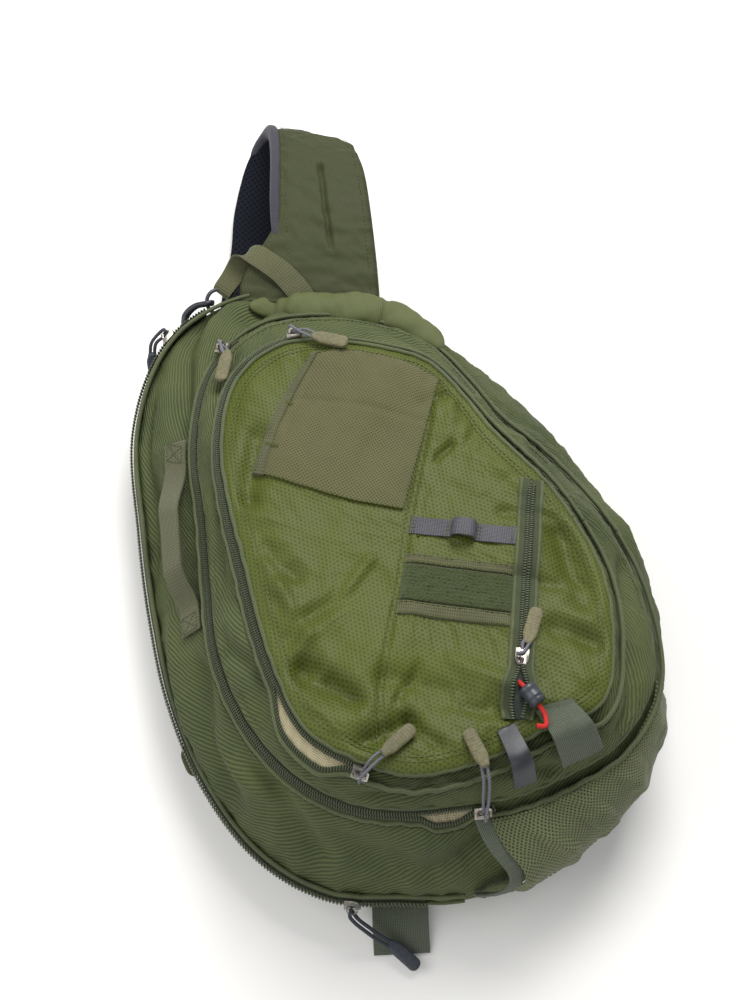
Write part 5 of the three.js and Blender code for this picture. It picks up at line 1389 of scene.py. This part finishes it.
def build_patch():
    """Loop patch with its two border tapes, and the grey tape with its raised loop."""
    x, y, uv = strip_grid(-13.5, 13.5, 52, 150)
    pile = 0.45 * ripples(np.stack([x, y], -1), 51, 3.2, 30) + 0.2 * ripples(np.stack([x, y], -1), 53, 12)
    top = 0.4 + (2.0 + pile) * rounded(52, 150, 26)
    make_piece("loop_field", [closed_sheet(on_cloth(x, y, top, 2), on_cloth(x, y, -0.4, 2), uv)], "loop_pile",
               ["loop_patch"])
    threads = []
    for name, low, high in (("patch_tape_upper", 13.8, 20.8), ("patch_tape_lower", -23.8, -13.8)):
        x, y, uv = strip_grid(low, high, 14, 150)
        wave = 0.25 * ripples(np.stack([x, y], -1), 57, 22)
        top = 0.6 + wave + 1.2 * rounded(14, 150, 10)
        make_piece("border_" + name[11:], [closed_sheet(on_cloth(x, y, top, 2), on_cloth(x, y, -0.4, 2), uv)],
                   "webbing", [name])
        for b in (low + 1.1, high - 1.1):
            left, right = strip_ends(b)
            x, y = patch_xy(np.linspace(left + 0.5, right - 0.5, 80), b)
            threads.append(stitches(on_cloth(x, y, 1.9, 2), (0, 0, 1.0), thread=0.75))
    tape_b = 41.8
    left = strip_ends(tape_b)[0]
    right = strip_ends(tape_b + TAPE_WIDTH / 2)[1]
    middle = (left + strip_ends(tape_b)[1]) / 2
    arch = np.array([(-0.66, 0.0), (-0.5, 0.1), (-0.46, 0.55), (-0.3, 0.92), (0, 1), (0.3, 0.92),
                     (0.46, 0.55), (0.5, 0.1), (0.66, 0.0)])
    flat_left = np.stack([np.linspace(left, middle - 13, 14), np.zeros(14), np.zeros(14)], -1)
    flat_right = np.stack([np.linspace(middle + 13, right, 14), np.zeros(14), np.zeros(14)], -1)
    loop = np.stack([middle + arch[:, 0] * 16, arch[:, 1] * 7.6, 0 * arch[:, 0]], -1)
    line = smooth_path(np.concatenate([flat_left, loop, flat_right]), 190)
    x, y = patch_xy(line[:, 0], tape_b)
    path = on_cloth(x, y, line[:, 1] + 1.1, 3)
    across = np.array([np.sin(PATCH_TURN), np.cos(PATCH_TURN) * np.cos(FACE_TILT),
                       -np.cos(PATCH_TURN) * np.sin(FACE_TILT)])
    make_piece("loop_tape", [sweep(path, across, flat_profile(TAPE_WIDTH, 1.3, 7, 40))], "grey_tape",
               ["tool_tape"])
    for a in (left + 1.5, left + 3.0, middle - 11, middle - 9.6, middle + 9.6, middle + 11, right - 3.0):
        x, y = patch_xy(a, np.linspace(tape_b - 5.4, tape_b + 5.4, 12))
        threads.append(stitches(on_cloth(x, y, 1.95, 3), (0, 0, 1.0), 2.2, 0.8))
    make_piece("patch_stitches", threads, "thread")


def build_holders():
    """Ribbed elastic tab and the glossy band beside it, over the step below the face."""
    front, second, main = mm("front_height"), mm("second_height"), mm("main_height")
    levels = [
        dict(height=tier(front - 0.8), start="front", out=-13),
        dict(height=tier(front), start="front", out=-3),
        dict(height=tier(front - 1.5), start="front", end="middle", mix=0.2),
        dict(height=tier(second + 6), start="front", end="middle", mix=0.42),
        dict(height=tier(second - 2), start="front", end="middle", mix=0.65),
        dict(height=tier(main + 18), start="front", end="middle", mix=0.85),
    ]
    rise_rows = np.array([0, 0.35, 0.75, 1, 0.8, 0.35])

    def sheet(middle, width, thickness, rise, rib, sag):
        reach = mm("body_length") * outline_share("front", middle)
        half = np.degrees(width / reach / 2)
        degrees = np.linspace(middle - half, middle + half, 44)
        rows = np.linspace(0, 5, 60)
        points = spline(np.array([ring(degrees, **level) for level in levels]), rows)
        up = spline(rise_rows, rows)[:, None]
        away = unit(points * (1, 1, 0))
        travel = np.linspace(0, 46, 60)[:, None]
        side = np.linspace(-1, 1, 44)[None]
        ribs = rib * np.sin(2 * np.pi * travel / 1.9) * (1 - side ** 8) + sag * (1 - side ** 2) * up

        def lifted(lift):
            push = lift + rise * up + ribs
            moved = points + away * (push * 0.55)[..., None]
            moved[..., 2] += 0.5 + push * 0.84
            moved[..., 2] = np.maximum(moved[..., 2], cloth_height(moved[..., 0], moved[..., 1], 2) + lift)
            return moved

        return closed_sheet(lifted(thickness + 0.4), lifted(0.3))

    make_piece("elastic_tab", [sheet(303.5, 31, 2.2, 1, 0.16, 0.8)], "ribbed_elastic",
               ["elastic_holder"])
    make_piece("gloss_sheath", [sheet(287.5, 17, 1.5, 6, 0.05, 1.2)], "gloss_band",
               ["tool_sheath"])


def build_handle():
    """Grab handle: webbing that stands off the left wall between its box-stitched ends."""
    forms()
    ends, _, _ = wall_point(np.array([HANDLE_FROM, HANDLE_TO]), np.array([0.74, 0.73]))
    stitched = 16 / np.linalg.norm(ends[1] - ends[0])
    t = np.linspace(0, 1, 130)
    free = ease(t, stitched, 0.38) * (1 - ease(t, 0.66, 1 - stitched))
    degrees = HANDLE_FROM + (HANDLE_TO - HANDLE_FROM) * t
    share = 0.74 - 0.01 * t
    path, normal, up = wall_point(degrees, share, 3.4 + (mm("handle_rise") - 1) * free)
    roll = 0.12 * np.sin(np.pi * t)[:, None]
    cross = unit(up + normal * roll)
    make_piece("handle", [sweep(path, cross, flat_profile(20, 2.0, 7, 44))], "webbing",
               ["grab_handle"])
    threads = []
    for low, high in ((0.012, stitched * 0.86), (1 - stitched * 0.86, 0.988)):
        pick = np.linspace(low, high, 30)
        index = np.interp(pick, t, np.arange(len(t)))
        line, face, side = (np.stack([np.interp(index, np.arange(len(t)), part[:, k]) for k in range(3)], -1)
                            for part in (path, normal, cross))
        for offset in (-8, 8):
            threads.append(stitches(line + side * offset + face * 1.1, face, 2.6, 0.8))
        cross_line = np.linspace(-8, 8, 30)[:, None]
        for k in (0, -1):
            threads.append(stitches(line[k] + side[k] * cross_line + face[k] * 1.1, face[k], 2.4, 0.8))
        threads.append(stitches(line + side * cross_line + face * 1.1, face, 2.6, 0.8))
        threads.append(stitches(line - side * cross_line + face * 1.1, face, 2.6, 0.8))
    make_piece("handle_stitches", threads, "dark_thread")


def bottle_point(degrees, share, lift):
    """Mesh of the side pocket: the wall moved out by its room, which opens towards the mouth."""
    mouth = np.clip((BOTTLE_TO - degrees) / (BOTTLE_TO - BOTTLE_FROM), 0, 1.1)
    swell = np.sin(np.pi * np.clip((share - 0.1) / 0.85, 0, 1))
    room = 1 + 16 * mouth ** 0.8 * swell + outline_share("bottle", degrees) * mm("body_width") * (1 - share)
    return wall_point(degrees, share, room + lift)


def mouth_angle(share):
    """The mouth's edge: it curves back in its middle and forward at its foot."""
    return BOTTLE_FROM + 5.0 * bell((share - 0.5) / 0.26) - 3.5 * (1 - ease(share, 0.0, 0.32))


def build_bottle_pocket():
    """Side pocket of knitted mesh that hangs in folds from its mouth, with a gathered binding."""
    forms()
    s, t = np.meshgrid(np.linspace(0, 1, 160), np.linspace(0, 1, 72))
    share = 0.1 + 0.8 * t
    degrees = mouth_angle(share) + (BOTTLE_TO - mouth_angle(share)) * s
    fan = s * 1.1 + 0.22 * (t - 0.5) * (1 - s)
    folds = 3.0 * np.sin(2 * np.pi * fan * 4.2 + 1.2 * np.sin(3 * t))
    folds = folds + 0.7 * np.sin(2 * np.pi * fan * 11 + 4 * t)
    folds = folds * np.sin(np.pi * np.clip(t, 0, 1)) ** 0.6 * (1 - 0.5 * s)
    fine = 0.5 * ripples(np.stack([s * 130, t * 70], -1), 61, 26)
    lift = 0.9 + np.maximum(folds + fine, -0.8)
    upper, normal, _ = bottle_point(degrees, share, lift + 0.8)
    lower = upper - normal * 1.0
    net = make_piece("bottle_mesh", [closed_sheet(upper, lower)], "bottle_mesh",
                     ["bottle_pocket"])
    rows = np.linspace(0.08, 0.92, 150)
    edge, normal, _ = bottle_point(mouth_angle(rows), rows, 0.6)
    before, _, _ = bottle_point(mouth_angle(rows) - 1, rows, 0.6)
    along = unit(before - edge)
    path = edge + along * 5.0
    gather = 1 + 0.10 * np.sin(rows * 150) + 0.06 * np.sin(rows * 67)
    profile = flat_profile(10, 2.6, 3.0, 30)[None] * np.stack([0.98 + 0 * gather, gather], -1)[:, None]
    make_piece("gathered_binding", [sweep(path, along, profile)], "ribbed_elastic",
               ["pocket_binding"])
    seam = np.linspace(BOTTLE_FROM, BOTTLE_TO, 200)
    lines = []
    for level in (0.115, 0.885):
        line, face, _ = bottle_point(seam, level + 0 * seam, 1.8)
        lines.append(stitches(line, face, thread=0.8))
    make_piece("bottle_stitches", lines, "dark_thread")


# Shoulder strap and webbing

def strap_root():
    """Where the strap leaves the body: its widest line at 101 degrees."""
    return ring(np.array([101.0]), belly_line, "belly")[0]


def strap_stations(places):
    """Centre, cross direction and half width of the strap at places counted in rows."""
    root = strap_root()
    rows = spline(STRAP_ROWS, places)
    centre = np.stack([root[0] + rows[:, 1] * mm("strap_width"), root[1] + rows[:, 0] * mm("strap_reach"),
                       rows[:, 2] * mm("strap_arch")], -1)
    turn = np.radians(rows[:, 3])
    across = np.stack([np.cos(turn), np.sin(turn), 0 * turn], -1)
    outward = unit(np.cross(across, unit(np.gradient(centre, axis=0))))
    return centre, across, outward, rows[:, 4] * mm("strap_width") / 2


def strap_layer(places, low, high, trim, shift, power, relief, flare=0.0):
    """One layer of the strap: a rounded section carried along it, its outer side moved by a relief."""
    centre, across, outward, half = strap_stations(places)
    dense = flat_profile(2.0, 1.0, power, 900)
    steps = np.hypot(np.diff(dense[:, 0]), 0.12 * np.diff(dense[:, 1]))
    travelled = np.concatenate([[0], np.cumsum(steps)])
    even = np.linspace(0, travelled[-1], 97)
    section = np.stack([np.interp(even, travelled, dense[:, k]) for k in range(2)], -1)
    wider = flare * (1 - ease(places, 0.35, 2.0))[:, None] * (section[None, :, 0] < 0)
    x = section[None, :, 0] * (half * trim)[:, None] * (1 + wider) + shift
    depth = (low + high) / 2 + section[None, :, 1] * (high - low)
    travel = np.concatenate([[0], np.cumsum(np.linalg.norm(np.diff(centre, axis=0), axis=1))])
    outer = ease(section[None, :, 1], 0.0, 0.35)
    depth = depth - relief(x, travel[:, None] + 0 * x) * outer
    points = centre[:, None] + across[:, None] * x[..., None] + outward[:, None] * depth[..., None]
    points[..., 2] = np.maximum(points[..., 2], 0.0)
    uv = np.stack([x + (1 - outer) * 20, travel[:, None] + 0 * x], -1) * MM
    ends = [np.repeat(points[k].mean(0)[None, None], points.shape[1], 1) for k in (0, -1)]
    return grid(np.concatenate([ends[0], points, ends[1]]), np.concatenate([uv[:1], uv, uv[-1:]]))


def build_strap():
    """Padded strap: nylon over foam, with the mesh lining wrapped round its edges."""
    forms()

    def nylon_relief(x, travel):
        flat = np.stack([x, travel], -1)
        dart, _ = line_distance(x, travel, [(5, 46), (3, 80), (1, 118)])
        rays = np.sin(travel / 2.9 + 2.4 * np.sin(x / 14)) * np.exp(-dart / 15)
        buckled = 1.5 * bell((travel - 188) / 5) + 1.2 * bell((travel - 206) / 5)
        buckled = buckled + 1.0 * bell((travel - 172) / 6)
        fine = mm("wrinkle") * (1.3 * creases(flat * (0.6, 1.4), 81, 60) + 0.5 * creases(flat, 85, 26))
        edge = 0.7 * np.sin(travel / 2.6 + 2 * np.sin(travel / 11)) * ease(np.abs(x), 20, 32)
        return 4.4 * bell(dart / 1.8) + 0.7 * rays + buckled + edge - fine - 1.4 * bell(dart / 10)

    def mesh_relief(x, travel):
        return 0.35 * np.sin(travel / 3.1) + 0.3 * ripples(np.stack([x, travel], -1), 83, 25)

    places = np.linspace(0, 14, 220)
    foam = make_piece("strap_nylon", [strap_layer(places, -0.6, 6.8, 0.91, 2.4, 3.2, nylon_relief, 0.85)],
                      "strap_nylon", ["shoulder_strap"])
    inner = np.linspace(0.1, 11.6, 160)
    # The lining's finish carries painted shade: darker than its navy, because it lies in the strap's shadow.
    lining = make_piece("strap_mesh", [strap_layer(inner, -5.3, 1.0, 0.95, -0.6, 2.6, mesh_relief)],
                        "dark_mesh", ["strap_lining"])
    edge = np.linspace(1.2, 7.4, 160)
    centre, across, outward, half = strap_stations(edge)
    path = centre - across * (half - 3.4)[:, None] + outward * 0.6
    fat = np.sqrt(np.clip(1 - np.abs(np.linspace(-1, 1, 160)) ** 9, 0.004, 1))
    section = flat_profile(8.5, 11.6, 2.6, 30)[None] * fat[:, None, None]
    make_piece("strap_edge", [sweep(path, across, section)], "edge_mesh")
    threads = []
    centre, across, outward, half = strap_stations(places)
    for side in (-1, 1):
        path = centre + across * (half * 0.76 * side + 2.4)[:, None] + outward * 6.2
        threads.append(stitches(path[8:86], outward[8:86], thread=0.6))
    make_piece("strap_stitches", threads, "dark_thread")


def build_webbing():
    """Stabiliser webbing with its ring and clip, the tail webbing, the corner loop and the buckle."""
    root = strap_root()
    rows = resample(HAUL_ROWS, 120)
    path = np.stack([root[0] + rows[:, 0], root[1] + rows[:, 1], rows[:, 2]], -1)
    turn = np.radians(rows[:, 3])
    across = np.stack([np.cos(turn), np.sin(turn), 0 * turn], -1)
    tangent = unit(np.gradient(path, axis=0))
    normal = unit(np.cross(tangent, unit(across - tangent * (across * tangent).sum(-1, keepdims=True))))
    wire = path[-1] - tangent[-1] * 2
    turns = np.linspace(0, np.pi, 14)[1:, None]
    bend = wire + normal[-1] * 2.6 * np.cos(turns) + tangent[-1] * 2.6 * np.sin(turns)
    back = bend[-1] - tangent[-1] * np.linspace(1, 15, 14)[:, None]
    back = back + normal[-1] * np.linspace(0, 0.6, 14)[:, None]
    lifted = path + normal * (2.6 * ease(np.linspace(0, 1, 120), 0.86, 0.97))[:, None]
    whole = np.concatenate([lifted[:-4], bend, back])
    widths = np.concatenate([rows[:-4, 4], np.full(27, rows[-1, 4])]) * 18
    cross = np.concatenate([across[:-4], np.repeat(across[-1:], 27, 0)])
    section = flat_profile(1.0, 1.0, 7, 40)[None] * np.stack([widths, 1.7 + 0 * widths], -1)[:, None]
    make_piece("haul_strip", [sweep(whole, cross, section)], "webbing", ["haul_webbing"])
    ring_centre = path[-1] + tangent[-1] * 7
    facing = unit(np.array([0.45, -0.5, 0.74]))
    one = unit(np.cross(facing, (0, 0, 1.0)))
    two = np.cross(facing, one)
    a = np.linspace(0, 2 * np.pi, 73)[:, None, None]
    b = np.linspace(0, 2 * np.pi, 21)[None, :, None]
    outward = one * np.cos(a) + two * np.sin(a)
    torus = ring_centre + (9 + 1.5 * np.cos(b)) * outward + 1.5 * np.sin(b) * facing
    make_piece("ring", [grid(torus)], "grey_plastic", ["top_ring"])
    hook = np.array([(-6.2, 0.8, -1.1), (-4.5, -1.3, 1.9), (-4.8, -3.6, 5.4), (-8, -4.6, 7), (-17, -4, 4),
                     (-25, -8, -1), (-28, -16, -5)])
    clip = smooth_path(ring_centre + hook, 80)
    share = np.linspace(0, 1, 80)
    fat = np.sqrt(np.clip(1 - np.abs(2 * share - 1) ** 14, 0.002, 1)) * (1 + 0.22 * ease(share, 0.4, 0.7))
    section = flat_profile(4.6, 4.2, 2.6, 20)[None] * fat[:, None, None]
    make_piece("clip", [sweep(clip, (0.2, 0.6, 0.75), section)], "black_plastic",
               ["gear_clip"])

    width, body = mm("body_width"), mm("body_length")
    head, foot = np.array([-0.235 * width, 0.54 * body]), np.array([-0.117 * width, -0.45 * body])
    channel = lambda y: head[0] + (foot[0] - head[0]) * (y - head[1]) / (foot[1] - head[1])
    end = strap_stations(np.array([13.9, 14.0]))[0][1]
    start = end[1] - 0.6 - 52 - 0.3
    low = 11.7
    tail = np.array([
        (end[0], start, low, 0), (channel(0.1 * body), 0.1 * body, low, 0),
        (channel(-0.2 * body), -0.2 * body, low, 0), (foot[0], foot[1], low, -4),
        (foot[0] - 1, foot[1] - 9.6, low * 0.8, -8), (foot[0] - 2, foot[1] - 20.8, low * 0.4, -12),
        (foot[0] - 3, foot[1] - 32, WEBBING_THICKNESS + GAP, -16),
    ])
    path = smooth_path(tail[:, :3], 140) - (0, 0, WEBBING_THICKNESS / 2)
    path[:, 2] = np.maximum(path[:, 2], 1.4)
    turn = np.radians(np.interp(-path[:, 1], -tail[:, 1], tail[:, 3]))
    across = np.stack([np.cos(turn), np.sin(turn), 0 * turn], -1)
    make_piece("tail_strip", [sweep(path, across, flat_profile(38, WEBBING_THICKNESS, 7, 48))],
               "ribbed_elastic", ["lower_webbing"])
    degrees = np.linspace(-1, 1, 24)
    half = np.degrees(26 / (body * 0.5) / 2)
    reach = 9 * (1 - degrees ** 4) - 1
    level = lambda z: (lambda y: z + 0 * y)
    outer = [ring(203.5 + degrees * half, level(z), "belly", out=0) for z in (14.9, 12.5)]
    away = unit(outer[0] * (1, 1, 0))
    grids = []
    for edge in outer:
        grids.append(np.stack([edge - away * 11.5 + away * (11.5 + reach)[:, None] * s
                               for s in np.linspace(0, 1, 12)]))
    make_piece("corner_loop", [closed_sheet(grids[0], grids[1])], "webbing", ["corner_webbing"])
    refined("strap_buckle", "black_plastic", 1.2, 3)


# Back

def build_back():
    """Back panel of spacer mesh, sewn in along the body's edge and quilted beside the channel."""
    degrees = np.linspace(0, 360, 241)
    shares = np.linspace(0.002, 1, 32)
    rim = ring(degrees, lambda y: 15.0 + 0 * y, "belly", out=-PANEL_INSET + 0.5)
    flat = rim[None] * (shares[:, None, None] * (1, 1, 0)) + (0, 0, 1.0) * rim[None]
    quilt = 0.35 * ripples(flat[..., :2], 91, 18)
    edge = ease(shares, 0.93, 1.0)[:, None]
    upper = flat + (0, 0, 1.0) * (0.1 - 1.1 * edge)[..., None]
    lower = flat - (0, 0, 1.0) * (2.6 + quilt * (1 - edge) - 1.1 * edge)[..., None]
    upper[:, -1], lower[:, -1] = upper[:, 0], lower[:, 0]
    loop = np.concatenate([upper, lower[::-1]])
    make_piece("back_mesh", [grid(loop, loop[..., :2] * MM)], "spacer_mesh", ["back_panel"],
               merge=3e-5)


def applied(piece):
    """Puts the result of a piece's modifiers into its mesh and removes them."""
    depsgraph = bpy.context.evaluated_depsgraph_get()
    mesh = bpy.data.meshes.new_from_object(piece.evaluated_get(depsgraph))
    piece.modifiers.clear()
    piece.data = mesh
    return mesh


def inflate(piece, pressure, cap, floor):
    """Cloth blown up from inside: each point moves at most the cap from where it began, and not
    under the floor."""
    remesh = piece.modifiers.new("even", "REMESH")
    remesh.mode = "VOXEL"
    remesh.voxel_size = 0.0045
    mesh = applied(piece)
    before = np.empty(len(mesh.vertices) * 3)
    mesh.vertices.foreach_get("co", before)
    before = before.reshape(-1, 3)
    cloth = piece.modifiers.new("cloth", "CLOTH")
    cloth.settings.use_pressure = True
    cloth.settings.uniform_pressure_force = pressure
    cloth.settings.effector_weights.gravity = 0.0
    cloth.settings.quality = 5
    cloth.point_cache.frame_start = 1
    cloth.point_cache.frame_end = 20
    for number in range(1, 21):
        bpy.context.scene.frame_set(number)
    mesh = applied(piece)
    bpy.context.scene.frame_set(1)
    after = np.empty(len(mesh.vertices) * 3)
    mesh.vertices.foreach_get("co", after)
    moved = after.reshape(-1, 3) - before
    span = np.linalg.norm(moved, axis=1, keepdims=True)
    points = before + moved * np.minimum(1, cap * MM / np.maximum(span, 1e-9))
    points[:, 2] = np.clip(points[:, 2], floor * MM, 12.2 * MM)
    mesh.vertices.foreach_set("co", points.ravel())
    mesh.update()


def build_pads():
    """The two foam pads of the back: blown up from their cut shape, and smoothed."""
    for side in ("left", "right"):
        piece = node_copy("back_pad_" + side, "pad_" + side, "spacer_mesh")
        inflate(piece, 3.0, 5.0, 0.0)
        piece.data.shade_smooth()
        if not piece.data.materials:
            piece.data.materials.append(material("spacer_mesh"))
        fine = piece.modifiers.new("fine", "SUBSURF")
        fine.levels = 1
        fine.render_levels = 1
        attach(piece, "root")
        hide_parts("back_pad_" + side)


# Stage

def build_stage():
    """Camera at the photograph's angle, a pale floor and soft studio light."""
    scene = bpy.context.scene
    a, e = np.radians(CAMERA_AZIMUTH), np.radians(CAMERA_ELEVATION)
    back = np.array([np.sin(a) * np.cos(e), -np.cos(a) * np.cos(e), np.sin(e)])
    target = np.array(CAMERA_TARGET)
    data = bpy.data.cameras.new("camera")
    data.sensor_fit = "VERTICAL"
    data.sensor_height = 24.0
    data.lens = 24.0 * CAMERA_FOCAL / PICTURE_HEIGHT
    data.clip_end = 20.0
    camera = bpy.data.objects.new("camera", data)
    camera.location = Vector(target + back * CAMERA_DISTANCE)
    camera.rotation_euler = Vector(-back).to_track_quat("-Z", "Y").to_euler()
    scene.collection.objects.link(camera)
    scene.camera = camera
    points, quads, _ = grid(np.array([[(-2500, -2500, -0.3), (2500, -2500, -0.3)],
                                       [(-2500, 2500, -0.3), (2500, 2500, -0.3)]], float))
    mesh = bpy.data.meshes.new("floor")
    mesh.from_pydata((points * MM).tolist(), [], quads.tolist())
    mesh.materials.append(finish("painted pale floor", tint("floor"), tint("floor"), grain(200), 0.01, 0.85,
                                 mottle=0.0, source="Object"))
    floor = bpy.data.objects.new("floor", mesh)
    scene.collection.objects.link(floor)
    lights = (("key", (0.4, 1.05, 1.42), 1.0, 36.0), ("fill", (-1.2, 0.1, 1.2), 1.2, 11.0),
              ("front", (-0.3, -1.4, 1.1), 1.2, 7.0))
    for name, place, size, power in lights:
        lamp = bpy.data.lights.new(name, "AREA")
        lamp.size = size
        lamp.energy = power
        lamp.color = (1.0, 0.985, 0.96)
        light = bpy.data.objects.new(name, lamp)
        light.location = place
        light.rotation_euler = (Vector((0, 0.03, 0.05)) - Vector(place)).to_track_quat("-Z", "Y").to_euler()
        scene.collection.objects.link(light)
    world = bpy.data.worlds.new("studio")
    world.use_nodes = True
    world.node_tree.nodes["Background"].inputs["Color"].default_value = (0.95, 0.97, 1.0, 1.0)
    world.node_tree.nodes["Background"].inputs["Strength"].default_value = 0.40
    scene.world = world
    scene.view_settings.view_transform = "Standard"


class BAG_OT_stage(bpy.types.Operator):
    """Add the camera, the floor and the lights"""
    bl_idname = "bag.stage"
    bl_label = "Stage"

    def execute(self, context):
        build_stage()
        return {"FINISHED"}


class BAG_OT_pulls(bpy.types.Operator):
    """Add the pull cords with their moulded tabs, and the bungee with its lock"""
    bl_idname = "bag.pulls"
    bl_label = "Pull cords and bungee"

    def execute(self, context):
        build_pulls()
        build_bungee()
        return {"FINISHED"}


class BAG_OT_body(bpy.types.Operator):
    """Add the three compartments of the body"""
    bl_idname = "bag.body"
    bl_label = "Body"

    def execute(self, context):
        build_body()
        return {"FINISHED"}


class BAG_OT_seams(bpy.types.Operator):
    """Add the rolled seams and the stitching of the body"""
    bl_idname = "bag.seams"
    bl_label = "Seams"

    def execute(self, context):
        build_seams()
        return {"FINISHED"}


class BAG_OT_zippers(bpy.types.Operator):
    """Add the zippers with their sliders and linings"""
    bl_idname = "bag.zippers"
    bl_label = "Zippers"

    def execute(self, context):
        build_zippers()
        build_pocket_zip()
        return {"FINISHED"}


class BAG_OT_face(bpy.types.Operator):
    """Add the net pocket, the loop patch, the tapes and the tool holders of the face"""
    bl_idname = "bag.face"
    bl_label = "Face details"

    def execute(self, context):
        build_net()
        build_patch()
        build_holders()
        return {"FINISHED"}


class BAG_OT_handle(bpy.types.Operator):
    """Add the grab handle"""
    bl_idname = "bag.handle"
    bl_label = "Grab handle"

    def execute(self, context):
        build_handle()
        return {"FINISHED"}


class BAG_OT_bottle_pocket(bpy.types.Operator):
    """Add the mesh pocket on the side"""
    bl_idname = "bag.bottle_pocket"
    bl_label = "Bottle pocket"

    def execute(self, context):
        build_bottle_pocket()
        return {"FINISHED"}


class BAG_OT_strap(bpy.types.Operator):
    """Add the shoulder strap and its mesh lining"""
    bl_idname = "bag.strap"
    bl_label = "Shoulder strap"

    def execute(self, context):
        build_strap()
        return {"FINISHED"}


class BAG_OT_webbing(bpy.types.Operator):
    """Add the webbing, the ring, the clip and the buckle"""
    bl_idname = "bag.webbing"
    bl_label = "Webbing and fittings"

    def execute(self, context):
        build_webbing()
        return {"FINISHED"}


class BAG_OT_back(bpy.types.Operator):
    """Add the back panel and its two pads"""
    bl_idname = "bag.back"
    bl_label = "Back"

    def execute(self, context):
        build_back()
        build_pads()
        return {"FINISHED"}


OPERATORS = (BAG_OT_stage, BAG_OT_pulls, BAG_OT_body, BAG_OT_seams, BAG_OT_zippers, BAG_OT_face,
             BAG_OT_handle, BAG_OT_bottle_pocket, BAG_OT_strap, BAG_OT_webbing, BAG_OT_back)


class BAG_PT_panel(bpy.types.Panel):
    """Lists the sizes, the colours and the pieces"""
    bl_label = "Sling bag"
    bl_space_type = "VIEW_3D"
    bl_region_type = "UI"
    bl_category = "Sling bag"

    def draw(self, context):
        for group in (context.scene.bag_sizes, context.scene.bag_colours):
            box = self.layout.box()
            for key in group.__annotations__:
                box.prop(group, key)
        for operator in OPERATORS:
            self.layout.operator(operator.bl_idname)


CLASSES = (BagSizes, BagColours) + OPERATORS + (BAG_PT_panel,)


def register():
    for made in CLASSES:
        bpy.utils.register_class(made)
    bpy.types.Scene.bag_sizes = bpy.props.PointerProperty(type=BagSizes)
    bpy.types.Scene.bag_colours = bpy.props.PointerProperty(type=BagColours)


def unregister():
    del bpy.types.Scene.bag_sizes
    del bpy.types.Scene.bag_colours
    for made in reversed(CLASSES):
        bpy.utils.unregister_class(made)


def main():
    register()
    for operator in OPERATORS:
        group, name = operator.bl_idname.split(".")
        getattr(getattr(bpy.ops, group), name)()
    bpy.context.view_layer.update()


if __name__ == "__main__":
    main()
